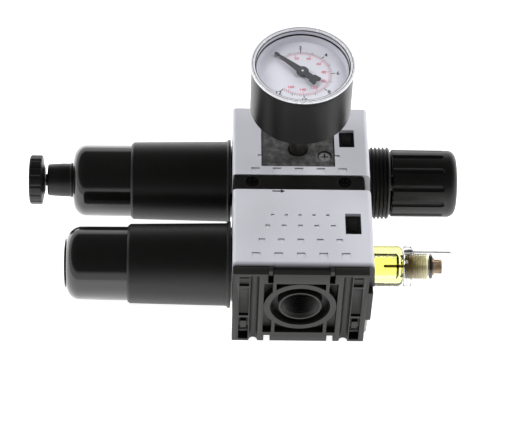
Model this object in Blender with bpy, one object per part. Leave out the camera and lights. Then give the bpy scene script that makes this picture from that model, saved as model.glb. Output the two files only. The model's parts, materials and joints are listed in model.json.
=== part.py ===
"""Two-piece air service unit: a filter-regulator module and a lubricator module side by side.

The unit lies on its back. +X runs from the bowls to the adjusting knob, +Y from the lubricator to
the filter-regulator, and +Z out of the gauge dial. The origin is the middle of the base.
Sizes are in millimetres and become metres where a mesh is made.
"""

import math

import bmesh
import bpy
from mathutils import Matrix, Vector

MM = 0.001
GAP = 0.3

# Sides of round pieces: large, middling and small ones
ROUND = 28
MIDDLE = 20
SMALL = 14

# Module block
MODULE_WIDTH = 52.0
MODULE_PITCH = 52.6
BODY_LENGTH = 64.0
BODY_HEIGHT = 52.5
AXIS_HEIGHT = 26.5
HALF_WIDTH = MODULE_WIDTH / 2
WALL = 2.2
FLANGE_THICK = 4.7
COVER_LENGTH = 65.3
COVER_BULGE = 67.3
COVER_DEPTH = 15.0
BAND_LENGTH = 66.5
REAR_DEPTH = 16.0
REAR_LENGTH = 66.0

# Overall length of the unit, from the drain wheel to the knob
WHEEL_END = -101.0
KNOB_END = 111.0
MID_X = (WHEEL_END + KNOB_END) / 2

# Ports
PORT_X = 32.2
PORT_Z = 1.0
PORT_BORE = 8.3
BUSH_RADIUS = 10.3
BUSH_LENGTH = 14.0
PASSAGE_RADIUS = 6.0
RING_OUTER = 17.0
RING_INNER = 14.5
POCKET_DEPTH = 3.6

# Bowls
BOWL_RADIUS = 18.0
BOWL_BORE = 18.4
BOWL_SOCKET = 14.0
GUARD_ROOT_RADIUS = 20.0
GUARD_TIP_RADIUS = 19.25
GUARD_LENGTH = 50.2
FR_BOWL_END = -79.0
LUB_BOWL_END = -80.0

# Catch in the window of each front cover
CATCH_FLOOR = 21.5
CATCH_TRAVEL = 1.0

# Regulator
NECK_RADIUS = 18.0
NECK_END = 77.8
CHAMBER_RADIUS = 20.6
CLAMPED_RADIUS = CHAMBER_RADIUS - GAP
CHAMBER_START = 51.5
SIGHT_BORE = 10.3
KNOB_RADIUS = 16.65
KNOB_START = 78.9
FLUTE_END = 103.3
FLUTES = 12
SPRING_TURNS = 4
SPRING_WIRE = 0.8
SPRING_RADIUS = 10.0

# Gauge, over the middle of the filter-regulator
GAUGE_X = 31.7
GAUGE_RADIUS = 24.7
CASE_BOTTOM = 82.4
GAUGE_TOP = 112.4
PLATE_HALF_X = 17.5
PLATE_HALF_Y = 11.4
PLATE_SCREW = (13.0, -3.9, 0)
POINTER_ANGLE = math.radians(137)

# Coupling strip between the modules
STRIP_WIDTH = 8.4
STRIP_THICK = 2.2
STRIP_LENGTH = 63.5
STRIP_SCREWS = (9.0, 54.1)

COLOURS = {
    "silver": ((0.56, 0.56, 0.61), 0.42, 0.25),
    "black": ((0.018, 0.018, 0.017), 0.45, 0.0),
    "flange": ((0.055, 0.054, 0.050), 0.55, 0.0),
    "grey": ((0.62, 0.63, 0.64), 0.5, 0.0),
    "gloss_black": ((0.012, 0.012, 0.014), 0.2, 0.0),
    "steel": ((0.62, 0.62, 0.60), 0.28, 1.0),
    "black_steel": ((0.05, 0.05, 0.048), 0.4, 0.8),
    "zinc": ((0.45, 0.45, 0.43), 0.3, 0.9),
    "brass": ((0.62, 0.45, 0.2), 0.3, 1.0),
    "rubber": ((0.02, 0.02, 0.02), 0.8, 0.0),
    "dial": ((0.8, 0.79, 0.84), 0.5, 0.0),
    "pointer": ((0.05, 0.055, 0.06), 0.4, 0.0),
    "clear": ((0.9, 0.92, 0.9), 0.08, 0.0),
    "yellow": ((0.85, 0.86, 0.12), 0.1, 0.0),
    "filter": ((0.8, 0.78, 0.7), 0.9, 0.0),
}


def clear_scene():
    for obj in list(bpy.data.objects):
        bpy.data.objects.remove(obj, do_unlink=True)


def material(finish):
    found = bpy.data.materials.get(finish)
    if found:
        return found
    made = bpy.data.materials.new(finish)
    made.use_nodes = True
    shader = made.node_tree.nodes["Principled BSDF"]
    colour, roughness, metallic = COLOURS[finish]
    shader.inputs["Base Color"].default_value = (*colour, 1.0)
    shader.inputs["Roughness"].default_value = roughness
    shader.inputs["Metallic"].default_value = metallic
    return made


def anchor(name, place, parent=None):
    """An empty at a place in millimetres."""
    made = bpy.data.objects.new(name, None)
    bpy.context.scene.collection.objects.link(made)
    made.location = Vector(place) * MM
    made.parent = parent
    return made


def piece(name, shape, parent, finish, smooth=True):
    """Turns a bmesh in millimetres into a named object under its parent."""
    bmesh.ops.scale(shape, vec=(MM, MM, MM), verts=shape.verts)
    mesh = bpy.data.meshes.new(name)
    shape.to_mesh(mesh)
    shape.free()
    if smooth:
        mesh.shade_smooth()
        mesh.set_sharp_from_angle(angle=math.radians(35))
    mesh.materials.append(material(finish))
    made = bpy.data.objects.new(name, mesh)
    bpy.context.scene.collection.objects.link(made)
    made.parent = parent
    return made


def spun(profile, segments, axis="X"):
    """A solid of revolution. The profile holds (along, radius) points; it closes on itself unless
    both of its ends lie on the axis."""
    shape = bmesh.new()
    points = [shape.verts.new((along, 0, radius)) for along, radius in profile]
    edges = [shape.edges.new(pair) for pair in zip(points, points[1:])]
    if profile[0][1] > 0 or profile[-1][1] > 0:
        edges.append(shape.edges.new((points[-1], points[0])))
    bmesh.ops.spin(shape, geom=points + edges, cent=(0, 0, 0), axis=(1, 0, 0),
                   dvec=(0, 0, 0), angle=2 * math.pi, steps=segments, use_merge=True)
    bmesh.ops.remove_doubles(shape, verts=shape.verts, dist=1e-4)
    bmesh.ops.recalc_face_normals(shape, faces=shape.faces)
    if shape.calc_volume(signed=True) < 0:
        bmesh.ops.reverse_faces(shape, faces=shape.faces)
    if axis == "Z":
        bmesh.ops.rotate(shape, cent=(0, 0, 0), matrix=Matrix.Rotation(-math.pi / 2, 3, "Y"),
                         verts=shape.verts)
    if axis == "Y":
        bmesh.ops.rotate(shape, cent=(0, 0, 0), matrix=Matrix.Rotation(math.pi / 2, 3, "Z"),
                         verts=shape.verts)
    return shape


def tube(start, end, inner, outer, segments=SMALL, axis="X"):
    return spun([(start, outer), (end, outer), (end, inner), (start, inner)], segments, axis)


def rod(start, end, radius, segments=SMALL, axis="X"):
    return spun([(start, 0), (start, radius), (end, radius), (end, 0)], segments, axis)


def box(low, high, bevel=0.0):
    shape = bmesh.new()
    bmesh.ops.create_cube(shape, size=1)
    size = [b - a for a, b in zip(low, high)]
    middle = [(a + b) / 2 for a, b in zip(low, high)]
    bmesh.ops.scale(shape, vec=size, verts=shape.verts)
    bmesh.ops.translate(shape, vec=middle, verts=shape.verts)
    if bevel:
        bmesh.ops.bevel(shape, geom=shape.edges, offset=bevel, offset_type="OFFSET",
                        affect="EDGES", segments=1, profile=0.5, material=-1)
    return shape


def moved(shape, by):
    bmesh.ops.translate(shape, vec=by, verts=shape.verts)
    return shape


def joined(shapes):
    """Separate closed shapes in one mesh, for a cutter that makes many holes."""
    whole = bmesh.new()
    for shape in shapes:
        part = bpy.data.meshes.new("joined")
        shape.to_mesh(part)
        shape.free()
        whole.from_mesh(part)
        bpy.data.meshes.remove(part)
    return whole


def outline(points, low, high, axis="Y"):
    """A flat outline in X and Z, extruded along Y, or in X and Y, extruded along Z."""
    shape = bmesh.new()
    if axis == "Y":
        corners = [shape.verts.new((x, low, z)) for x, z in points]
        step = (0, high - low, 0)
    else:
        corners = [shape.verts.new((x, y, low)) for x, y in points]
        step = (0, 0, high - low)
    face = shape.faces.new(corners)
    grown = bmesh.ops.extrude_face_region(shape, geom=[face])["geom"]
    moved_points = [item for item in grown if isinstance(item, bmesh.types.BMVert)]
    bmesh.ops.translate(shape, vec=step, verts=moved_points)
    bmesh.ops.recalc_face_normals(shape, faces=shape.faces)
    return shape


def helix(turns, start, end, radius, wire, steps=12, sides=5):
    """A closed coil of round wire about X."""
    shape = bmesh.new()
    rings = []
    count = turns * steps
    for step in range(count + 1):
        angle = 2 * math.pi * step / steps
        centre = Vector((start + (end - start) * step / count, radius * math.cos(angle),
                         radius * math.sin(angle)))
        out = Vector((0, math.cos(angle), math.sin(angle)))
        ring = []
        for side in range(sides):
            turn = 2 * math.pi * side / sides
            ring.append(shape.verts.new(centre + wire * (math.cos(turn) * out
                                                         + math.sin(turn) * Vector((1, 0, 0)))))
        rings.append(ring)
    for first, second in zip(rings, rings[1:]):
        for side in range(sides):
            after = (side + 1) % sides
            shape.faces.new((first[side], first[after], second[after], second[side]))
    shape.faces.new(list(reversed(rings[0])))
    shape.faces.new(rings[-1])
    bmesh.ops.recalc_face_normals(shape, faces=shape.faces)
    return shape


def boolean(target, shape, parent, operation="DIFFERENCE"):
    """Cuts a shape out of the target, or joins it on, through a hidden helper, which it returns."""
    helper = piece(target.name + "_helper", shape, parent, "black", smooth=False)
    helper.hide_render = True
    helper.display_type = "WIRE"
    change = target.modifiers.new(operation.lower(), "BOOLEAN")
    change.operation = operation
    change.solver = "EXACT"
    change.object = helper
    return helper


def cross_section(wide_low, wide_high, band):
    """The body's outline: a wide dark band between the front cover and the rear cover."""
    left, right = 2.8, 62.3
    low, high = WALL + GAP - AXIS_HEIGHT, BODY_HEIGHT - WALL - GAP - AXIS_HEIGHT
    return [(left, low), (right, low), (right, wide_low), (band, wide_low), (band, wide_high),
            (right, wide_high), (right, high), (left, high), (left, wide_high), (0, wide_high),
            (0, wide_low), (left, wide_low)]


def port_pockets(face, inward):
    """The cutters that open a port face, on the plane y = face, cut towards inward."""
    def slot(x_low, x_high, z_low, z_high, depth=POCKET_DEPTH):
        ends = sorted((face - inward * 1.0, face + inward * depth))
        return box((x_low, ends[0], z_low - AXIS_HEIGHT), (x_high, ends[1], z_high - AXIS_HEIGHT))

    cutters = []
    for mirrored in (False, True):
        for x_low, x_high, z_low, z_high, depth in (
                (3.0, 7.6, 1.5, 19.8, 3.6), (3.0, 7.6, 22.0, 45.4, 3.0), (3.0, 7.6, 46.4, 50.5, 1.6),
                (15.7, 18.6, -2.0, 4.5, 9.0), (17.0, 19.5, 45.6, 55.0, 9.0)):
            if mirrored:
                x_low, x_high = 2 * PORT_X - x_high, 2 * PORT_X - x_low
            cutters.append(slot(x_low, x_high, z_low, z_high, depth))
        channel_x = 2 * PORT_X - 10.1 if mirrored else 10.1
        channel = rod(-AXIS_HEIGHT - 2, 23.5, 2.2, 12, "Z")
        cutters.append(moved(channel, (channel_x, face + inward * 0.2, 0)))
    return joined(cutters)


def housing(name, anchor_point, port_side, chamber):
    """One module's moulded body, with its port face at low Y (port_side -1) or at high Y (+1).
    chamber is the radius of the bore that is open towards +X."""
    band_low, band_high = REAR_DEPTH + GAP - AXIS_HEIGHT, 37.5 - GAP - AXIS_HEIGHT
    flange_low = 0 if port_side < 0 else STRIP_THICK + GAP + 0.1
    flange_thick = FLANGE_THICK if port_side < 0 else STRIP_WIDTH
    near_end = -HALF_WIDTH
    body = piece(name, outline(cross_section(band_low, band_high, BAND_LENGTH),
                               near_end + 1.0, HALF_WIDTH), anchor_point, "black", smooth=False)
    flange = box((0, near_end, flange_low - AXIS_HEIGHT),
                 (BODY_LENGTH, near_end + flange_thick, BODY_HEIGHT - flange_low - AXIS_HEIGHT))
    boolean(body, flange, anchor_point, "UNION")
    face = port_side * HALF_WIDTH
    inward = -port_side
    if port_side < 0:
        boolean(body, port_pockets(face, inward), anchor_point)
    low_y, high_y = sorted((face - inward, face + inward * POCKET_DEPTH))
    recess = boolean(body, box((16.5, low_y, 6.5 - AXIS_HEIGHT), (47.9, high_y, 45.0 - AXIS_HEIGHT)),
                     anchor_point)
    for x in (19.2, 43.2):
        boolean(recess, box((x, low_y - 1, -AXIS_HEIGHT), (x + 2, high_y + 1, AXIS_HEIGHT)), anchor_point)
    boolean(recess, moved(rod(low_y - 1, high_y + 1, RING_OUTER, ROUND, "Y"), (PORT_X, 0, PORT_Z)),
            anchor_point)
    port = [(-1, 0), (-1, RING_INNER), (2.6, RING_INNER), (2.6, BUSH_RADIUS + GAP),
            (BUSH_LENGTH + GAP, BUSH_RADIUS + GAP), (BUSH_LENGTH + GAP, PASSAGE_RADIUS),
            (MODULE_WIDTH + 1, PASSAGE_RADIUS), (MODULE_WIDTH + 1, 0)]
    bore = spun([(face + inward * depth, radius) for depth, radius in port], ROUND, "Y")
    boolean(body, moved(bore, (PORT_X, 0, PORT_Z)), anchor_point)
    through = [(-2, 0), (-2, BOWL_BORE), (BOWL_SOCKET, BOWL_BORE), (BOWL_SOCKET, 8.0),
               (CHAMBER_START, 8.0), (CHAMBER_START, chamber), (BAND_LENGTH + 3, chamber),
               (BAND_LENGTH + 3, 0)]
    boolean(body, spun(through, ROUND), anchor_point)
    return body


def arc(centre, radius, first, last, steps):
    return [(centre[0] + radius * math.cos(math.radians(first + (last - first) * i / steps)),
             centre[1] + radius * math.sin(math.radians(first + (last - first) * i / steps)))
            for i in range(steps + 1)]


def front_outline():
    """The silver cover across the module: a flat top, rounded edges and bulging sides."""
    top, foot = BODY_HEIGHT - AXIS_HEIGHT, BODY_HEIGHT - COVER_DEPTH - AXIS_HEIGHT
    outer = [(COVER_BULGE, foot), (COVER_BULGE - 0.3, top - 8)]
    outer += arc((COVER_LENGTH - 1.2, top - 2.5), 2.5, 10, 90, 4)
    outer += arc((1.6, top - 1.8), 1.8, 90, 175, 3)
    outer.append((-0.4, foot))
    inner = [(WALL - 0.4, foot), (WALL, top - WALL), (COVER_LENGTH - WALL + 0.2, top - WALL),
             (COVER_BULGE - WALL - 0.2, foot)]
    return outer + inner


def rear_outline():
    """The light rear cover: a shallow tray."""
    low, lip = -AXIS_HEIGHT, REAR_DEPTH - AXIS_HEIGHT
    return [(0.2, lip), (0.2, low + 2), (2.2, low), (REAR_LENGTH - 3.0, low), (REAR_LENGTH - 0.6, low + 2),
            (REAR_LENGTH, lip), (REAR_LENGTH - WALL, lip), (REAR_LENGTH - WALL - 0.5, low + WALL),
            (WALL + 0.2, low + WALL), (WALL + 0.2, lip)]


def cover_marks():
    """Rows of square pockets that grow towards the port face."""
    marks = []
    depth = 0.5
    top = BODY_HEIGHT - AXIS_HEIGHT
    for row_y, pitch, width in ((36.5, 6.6, 1.5), (29.9, 7.8, 2.4), (21.1, 9.2, 3.3), (12.9, 10.6, 4.1)):
        for column in range(-2, 3):
            x = BODY_LENGTH / 2 + column * pitch
            y = row_y - HALF_WIDTH
            if column == 2 and row_y > 25:
                x -= 0.4
            marks.append(box((x - width / 2, y - width / 2, top - depth),
                             (x + width / 2, y + width / 2, top + 1)))
    return joined(marks)


def neck_cutter():
    return rod(COVER_LENGTH - 8, COVER_BULGE + 4, NECK_RADIUS + 0.6, ROUND)


def front_cover(name, anchor_point, start):
    cover = piece(name, outline(front_outline(), start, HALF_WIDTH), anchor_point, "silver")
    window = box((53.3, -1.0, 10), (61.0, 11.5, BODY_HEIGHT - AXIS_HEIGHT + 2))
    boolean(cover, window, anchor_point)
    boolean(cover, joined([rod(-3, 6, BOWL_BORE + 0.2, ROUND), neck_cutter()]), anchor_point)
    boolean(cover, cover_marks(), anchor_point)
    return cover


def rear_cover(name, anchor_point, start):
    cover = piece(name, outline(rear_outline(), start, HALF_WIDTH), anchor_point, "grey")
    boolean(cover, joined([rod(-3, 6, BOWL_BORE + 0.2, ROUND), neck_cutter()]), anchor_point)
    return cover


def catch_pocket():
    """The hole in the body that the cover's catch moves in."""
    return box((53.0, -1.3, CATCH_FLOOR), (61.3, 11.8, BODY_HEIGHT))


def cover_catch(name, anchor_point):
    foot = CATCH_FLOOR + CATCH_TRAVEL + GAP
    base = box((53.6, -0.7, foot), (60.7, 11.2, foot + 1.2), bevel=0.2)
    catch = piece(name, base, anchor_point, "black", smooth=False)
    boolean(catch, box((55.0, 2.0, foot + 0.6), (59.3, 8.5, foot + 2.4)), anchor_point, "UNION")
    return catch


def bowl_profile(end, wall, hole):
    """A drawn bowl with a rounded end. Its hole, for the drain, has a radius of 0 where there is none."""
    fillet = 6.5
    mouth = BOWL_SOCKET - GAP - 1.7
    centre = (end + fillet, BOWL_RADIUS - fillet - 0.2)
    inner = [(end + wall, hole)] + arc(centre, fillet - wall, 180, 90, 4) + [(mouth, BOWL_RADIUS - wall)]
    outer = [(mouth, BOWL_RADIUS), (-BOWL_SOCKET, BOWL_RADIUS)] + arc(centre, fillet, 90, 180, 5)
    return inner + outer + [(end, hole)]


def bowl(name, anchor_point, end, hole):
    return piece(name, spun(bowl_profile(end, 1.8, hole), ROUND), anchor_point, "gloss_black")


def bowl_guard(name, anchor_point, length):
    inner = BOWL_RADIUS + GAP
    profile = [(-1.0, 21.0), (-2.2, 21.0), (-2.6, GUARD_ROOT_RADIUS), (-length + 0.8, GUARD_TIP_RADIUS),
               (-length, GUARD_TIP_RADIUS - 0.8), (-length, inner), (-1.0, inner)]
    return piece(name, spun(profile, ROUND), anchor_point, "black")


def seal_ring(name, place, radius, wire, anchor_point, axis="X", segments=MIDDLE):
    sides = 5
    profile = [(wire * math.cos(2 * math.pi * i / sides), radius + wire * math.sin(2 * math.pi * i / sides))
               for i in range(sides)]
    return piece(name, moved(spun(profile, segments, axis), place), anchor_point, "rubber")


def make_filter(module, bowl_frame, drain_frame):
    """The filter half: everything in and under the filter-regulator's bowl."""
    bowl_guard("filter_bowl_guard", bowl_frame, GUARD_LENGTH)
    bowl("filter_bowl", bowl_frame, FR_BOWL_END, 3.4)
    neck = [(FR_BOWL_END - GAP, 8.65), (-84.0, 8.65), (-91.6, 7.9), (-91.9, 7.5), (-91.9, 3.4),
            (FR_BOWL_END - GAP, 3.4)]
    piece("drain_neck", spun(neck, MIDDLE), bowl_frame, "black")
    stem = [(-93.1, 0), (-93.1, 3.0), (-76.0, 3.0), (-76.0, 4.6), (-74.0, 4.6), (-72.5, 0)]
    piece("drain_valve_stem", spun(stem, SMALL), bowl_frame, "black")
    piece("drain_wheel", fluted_disc(18, 12.25, 11.3, -99.6, -93.4, WHEEL_END), drain_frame, "black")
    seal_ring("filter_bowl_seal", (16.0 - 2.6, 0, 0), 16.9, 0.45, bowl_frame)
    piece("swirl_vane", tube(-3.5, 9.0, 8.6, 14.6, SMALL), module, "black")
    piece("filter_element", tube(-30.0, -3.9, 8.6, 12.0, SMALL), module, "filter")
    piece("baffle_disc", spun([(-33.0, 0), (-33.0, 14.0), (-30.4, 14.0), (-30.4, 3.0), (8.5, 3.0),
                               (8.5, 0)], SMALL), module, "black")


def fluted_disc(count, outer, inner, start, end, dome):
    """A grip wheel with rounded scallops, faced with a shallow dome on its low side."""
    shape = bmesh.new()
    rim = []
    for i in range(count * 3):
        radius = inner if i % 3 == 0 else outer
        angle = 2 * math.pi * i / (count * 3)
        rim.append(Vector((0, radius * math.cos(angle), radius * math.sin(angle))))
    levels = [(start, 1.0), (end, 1.0)]
    rings = [[shape.verts.new(point * scale + Vector((x, 0, 0))) for point in rim] for x, scale in levels]
    cap = [shape.verts.new(point * 0.7 + Vector((dome, 0, 0))) for point in rim]
    rings.insert(0, cap)
    for first, second in zip(rings, rings[1:]):
        for i, point in enumerate(first):
            after = (i + 1) % len(first)
            shape.faces.new((point, first[after], second[after], second[i]))
    shape.faces.new(rings[0])
    shape.faces.new(rings[-1])
    bmesh.ops.recalc_face_normals(shape, faces=shape.faces)
    return shape


def make_regulator(module, spindle_frame):
    """The regulator half: bonnet, spring, diaphragm, valve and knob."""
    bonnet = [(54.5, CLAMPED_RADIUS), (58.5, CLAMPED_RADIUS), (58.5, NECK_RADIUS),
              (NECK_END - 1, NECK_RADIUS), (NECK_END, NECK_RADIUS - 1.0), (NECK_END, 4.4), (74.6, 4.4), (74.6, 14.6), (54.5, 14.6)]
    piece("regulator_bonnet", spun(bonnet, ROUND), module, "black")
    piece("bonnet_ring", tube(58.8, 62.5, NECK_RADIUS + GAP, CLAMPED_RADIUS, ROUND), module, "black")
    piece("diaphragm", tube(52.3, 54.2, 3.4, CLAMPED_RADIUS, MIDDLE), module, "rubber")
    piece("diaphragm_plate", spun([(48.0, 0), (48.0, 3.0), (54.6, 3.0), (54.6, 12.5), (56.0, 12.5),
                                   (56.0, 4.0), (57.5, 4.0), (57.5, 0)], SMALL), module, "zinc")
    piece("regulating_spring", helix(SPRING_TURNS, 57.2, 67.8, SPRING_RADIUS, SPRING_WIRE), module, "steel")
    piece("spring_nut", tube(69.0, 73.0, 3.4, 13.6), module, "steel")
    spindle = [(66.5, 0), (66.5, 3.0), (73.2, 3.0), (73.3, 6.5), (74.3, 6.5), (74.3, 4.0), (80.5, 4.0),
               (80.5, 3.0), (101.0, 3.0), (101.0, 0)]
    piece("adjusting_spindle", spun(spindle, 24), spindle_frame, "steel")
    knob = [(104.0, 0), (104.0, 3.3), (88.0, 3.3), (88.0, 6.0), (104.0, 6.0), (107.5, 9.0), (107.5, 13.0),
            (102.0, 14.2), (KNOB_START, 14.2), (KNOB_START, KNOB_RADIUS), (KNOB_END - 5.0, KNOB_RADIUS)]
    knob += arc((KNOB_END - 5.0, KNOB_RADIUS - 5.0), 5.0, 90, 0, 4)
    knob.append((KNOB_END, 0))
    turned = piece("adjusting_knob", spun(knob, 24), spindle_frame, "black")
    flutes = []
    for i in range(FLUTES):
        angle = 2 * math.pi * i / FLUTES
        flute = rod(KNOB_START - 2, FLUTE_END, 2.2, 6)
        reach = KNOB_RADIUS + 1.3
        flutes.append(moved(flute, (0, reach * math.cos(angle), reach * math.sin(angle))))
    boolean(turned, joined(flutes), spindle_frame)
    piece("valve_seat", tube(40.0, 44.0, 4.4, 7.7, SMALL), module, "brass")
    poppet = [(30.0, 0), (30.0, 2.2), (36.5, 2.2), (36.5, 5.6), (39.0, 5.6), (39.6, 4.2), (39.6, 2.2),
              (47.6, 2.2), (47.6, 0)]
    piece("valve_poppet", spun(poppet, SMALL), module, "brass")
    guide = [(22.5, 0), (22.5, 3.6), (16.0, 3.6), (16.0, 7.7), (20.0, 7.7), (20.0, 6.0), (25.0, 4.0),
             (25.0, 0)]
    piece("valve_guide", spun(guide, SMALL), module, "black")
    piece("valve_spring", helix(4, 26.4, 35.6, 3.6, 0.4, 8, 4), module, "steel")


def make_gauge(gauge, pointer_frame):
    """Pressure gauge on its plate. Heights are measured from the base of the unit."""
    top, floor = GAUGE_TOP, CASE_BOTTOM + 1.8
    case = [(CASE_BOTTOM, 0), (CASE_BOTTOM, 23.8), (CASE_BOTTOM + 0.4, 24.2), (top - 3.0, 24.2),
            (top - 3.0, 22.1), (floor, 22.1), (floor, 0)]
    piece("gauge_case", spun(case, ROUND, "Z"), gauge, "black")
    lens = [(top - 2.7, 0), (top - 2.7, GAUGE_RADIUS), (top - 0.3, GAUGE_RADIUS),
            (top, GAUGE_RADIUS - 0.3), (top, 22.3), (top - 1.1, 21.5), (top - 1.1, 0)]
    piece("gauge_lens", spun(lens, ROUND, "Z"), gauge, "clear")
    piece("gauge_dial", tube(top - 7.7, top - 6.9, 1.3, 21.8, ROUND, "Z"), gauge, "dial")
    stem = [(41.0, 0), (41.0, 4.6), (70.0, 4.6), (70.0, 8.0), (CASE_BOTTOM - GAP, 8.0),
            (CASE_BOTTOM - GAP, 0)]
    piece("gauge_stem", spun(stem, 12, "Z"), gauge, "brass")
    piece("gauge_movement", tube(floor + GAP, top - 12, 1.3, 5.0, 12, "Z"), gauge, "brass")
    piece("bourdon_tube", bourdon(), gauge, "brass")
    piece("gauge_pointer", pointer_shape(), pointer_frame, "pointer", smooth=False)


def bourdon():
    """A flattened tube bent most of the way round the movement."""
    shape = bmesh.new()
    section = [shape.verts.new((13.0 + dx, 0, CASE_BOTTOM + 10 + dz)) for dx, dz in
               ((-0.9, -2.5), (0.9, -2.5), (1.2, 0), (0.9, 2.5), (-0.9, 2.5), (-1.2, 0))]
    face = shape.faces.new(section)
    bmesh.ops.spin(shape, geom=[face], cent=(0, 0, 0), axis=(0, 0, 1), dvec=(0, 0, 0),
                   angle=math.radians(250), steps=20, use_merge=False)
    bmesh.ops.remove_doubles(shape, verts=shape.verts, dist=1e-4)
    bmesh.ops.holes_fill(shape, edges=shape.edges)
    bmesh.ops.recalc_face_normals(shape, faces=shape.faces)
    return shape


def pointer_shape():
    """The pointer's blade, round hub and counterweight, cut from one plate."""
    hub = 2.9
    tip_reach, tail_reach = 17.5, 9.6
    points = [(tip_reach, 0.25), (4.0, 1.1)]
    points += [(hub * math.cos(a), hub * math.sin(a)) for a in
               [math.radians(d) for d in (35, 60, 90, 120, 145)]]
    points += [(-6.0, 1.0), (-6.4, 1.9), (-tail_reach, 1.9)]
    points += [(x, -y) for x, y in reversed(points)]
    turn = Matrix.Rotation(POINTER_ANGLE, 3, "Z")
    shape = outline(points, GAUGE_TOP - 5.5, GAUGE_TOP - 4.6, "Z")
    bmesh.ops.rotate(shape, cent=(0, 0, 0), matrix=turn, verts=shape.verts)
    return shape


def gauge_mount(gauge):
    """The zinc plate that holds the gauge's stem, and the screw that fixes it to the module."""
    high = BODY_HEIGHT - 0.6
    plate = piece("gauge_plate", box((-PLATE_HALF_X, -PLATE_HALF_Y, high - 1.6),
                                     (PLATE_HALF_X, PLATE_HALF_Y, high)), gauge, "zinc", smooth=False)
    boolean(plate, rod(high - 4, high + 2, 5.4, SMALL, "Z"), gauge)
    boolean(plate, moved(rod(high - 4, high + 2, 3.5, SMALL, "Z"), PLATE_SCREW), gauge)
    screw = moved(rod(high - 3.6, high - 0.9, 3.1, SMALL, "Z"), PLATE_SCREW)
    head = piece("plate_screw", screw, gauge, "steel")
    boolean(head, box((PLATE_SCREW[0] - 1.6, PLATE_SCREW[1] - 0.35, high - 2.0),
                      (PLATE_SCREW[0] + 1.6, PLATE_SCREW[1] + 0.35, high + 1)), gauge)


def make_lubricator(module, bowl_frame, needle_frame, flap_frame):
    """Bowl, oil pick-up, venturi flap, sight dome and drip adjustment."""
    bowl_guard("oil_bowl_guard", bowl_frame, 50.5)
    bowl("oil_bowl", bowl_frame, LUB_BOWL_END, 0)
    piece("oil_bowl_disc", spun([(-81.0, 0), (-81.0, 11.9), (-80.5, 12.4), (LUB_BOWL_END - GAP, 12.4),
                                 (LUB_BOWL_END - GAP, 0)], MIDDLE), bowl_frame, "gloss_black")
    seal_ring("oil_bowl_seal", (16.0 - 2.6, 0, 0), 16.9, 0.45, bowl_frame)
    piece("siphon_tube", moved(tube(-66.0, 17.0, 1.2, 2.0, 12), (0, 0, -5)), module, "clear")
    piece("siphon_strainer", moved(spun([(-73.0, 0), (-73.0, 4.0), (-63.0, 4.0), (-63.0, 2.3), (-66.3, 2.3),
                                         (-66.3, 0)], 16), (0, 0, -5)), module, "filter")
    venturi = moved(tube(-3.0, 3.0, 4.6, 5.7, SMALL, "Y"), (PORT_X, 18.0, PORT_Z))
    piece("venturi_ring", venturi, module, "brass")
    flap = box((-2.8, -0.4, -8.0), (2.8, 0.4, 0.4))
    piece("venturi_flap", flap, flap_frame, "rubber", smooth=False)
    dome = [(53.0, 9.9), (80.6, 9.9), (82.2, 8.8), (82.2, 1.5), (80.0, 1.5), (80.0, 4.6), (53.0, 4.6)]
    piece("sight_dome", spun(dome, MIDDLE), module, "yellow")
    piece("drip_nozzle", spun([(48.0, 1.2), (48.0, 7.0), (52.0, 7.0), (52.0, 3.4), (68.0, 2.4), (68.0, 1.2)],
                              SMALL), module, "brass")
    guard = [(82.6, 9.7), (87.1, 9.7), (87.3, 7.5), (106.0, 7.5), (106.0, 6.7), (82.6, 6.7)]
    piece("adjuster_guard", spun(guard, MIDDLE), module, "clear")
    screw = [(73.0, 0), (73.6, 0.8), (82.9, 0.8), (82.9, 6.3), (94.2, 6.3), (94.2, 4.2), (97.2, 4.2),
             (97.2, 3.4), (101.0, 3.4), (101.0, 0)]
    needle = piece("drip_needle_screw", spun(screw, SMALL), needle_frame, "brass")
    boolean(needle, box((99.4, -4, -0.5), (102, 4, 0.5)), needle_frame)
    seal_ring("needle_seal", (95.7, 0, 0), 5.2, 0.75, needle_frame, segments=SMALL)


def coupling(lub, module):
    """The strips that clamp the two modules together, their screws and the seal between them."""
    near = -HALF_WIDTH
    for name, low, high, side in (
            ("coupling_strip_front", BODY_HEIGHT - STRIP_THICK, BODY_HEIGHT, 1),
            ("coupling_strip_rear", 0.0, STRIP_THICK, -1)):
        corners = [(0.3, near + 0.1), (STRIP_LENGTH, near + 0.1)]
        corners += arc((STRIP_LENGTH - 1.5, near + STRIP_WIDTH - 1.6), 1.5, 0, 90, 3)
        corners.append((0.3, near + STRIP_WIDTH - 0.1))
        strip = piece(name, outline(corners, low - AXIS_HEIGHT, high - AXIS_HEIGHT, "Z"), module, "black",
                      smooth=False)
        for index, x in enumerate(STRIP_SCREWS):
            place = (x, near + 4.3, -AXIS_HEIGHT)
            middle = (low + high) / 2
            boolean(strip, moved(rod(middle - 4, middle + 4, 3.3, SMALL, "Z"), place), module)
            face = high if side > 0 else low
            ends = sorted((face - side * 0.5, face - side * (STRIP_THICK - 0.1)))
            screw = piece(f"{name}_screw_{index + 1}", moved(rod(*ends, 3.0, SMALL, "Z"), place), module,
                          "black_steel")
            slot = sorted((face - side * 1.3, face + side))
            for reach_x, reach_y in ((1.7, 0.35), (0.35, 1.7)):
                bar = box((-reach_x, -reach_y, slot[0]), (reach_x, reach_y, slot[1]))
                boolean(screw, moved(bar, place), module)
    seal_ring("module_seal", (PORT_X, HALF_WIDTH - 0.5, PORT_Z), 7.4, 0.55, lub, "Y")


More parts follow.
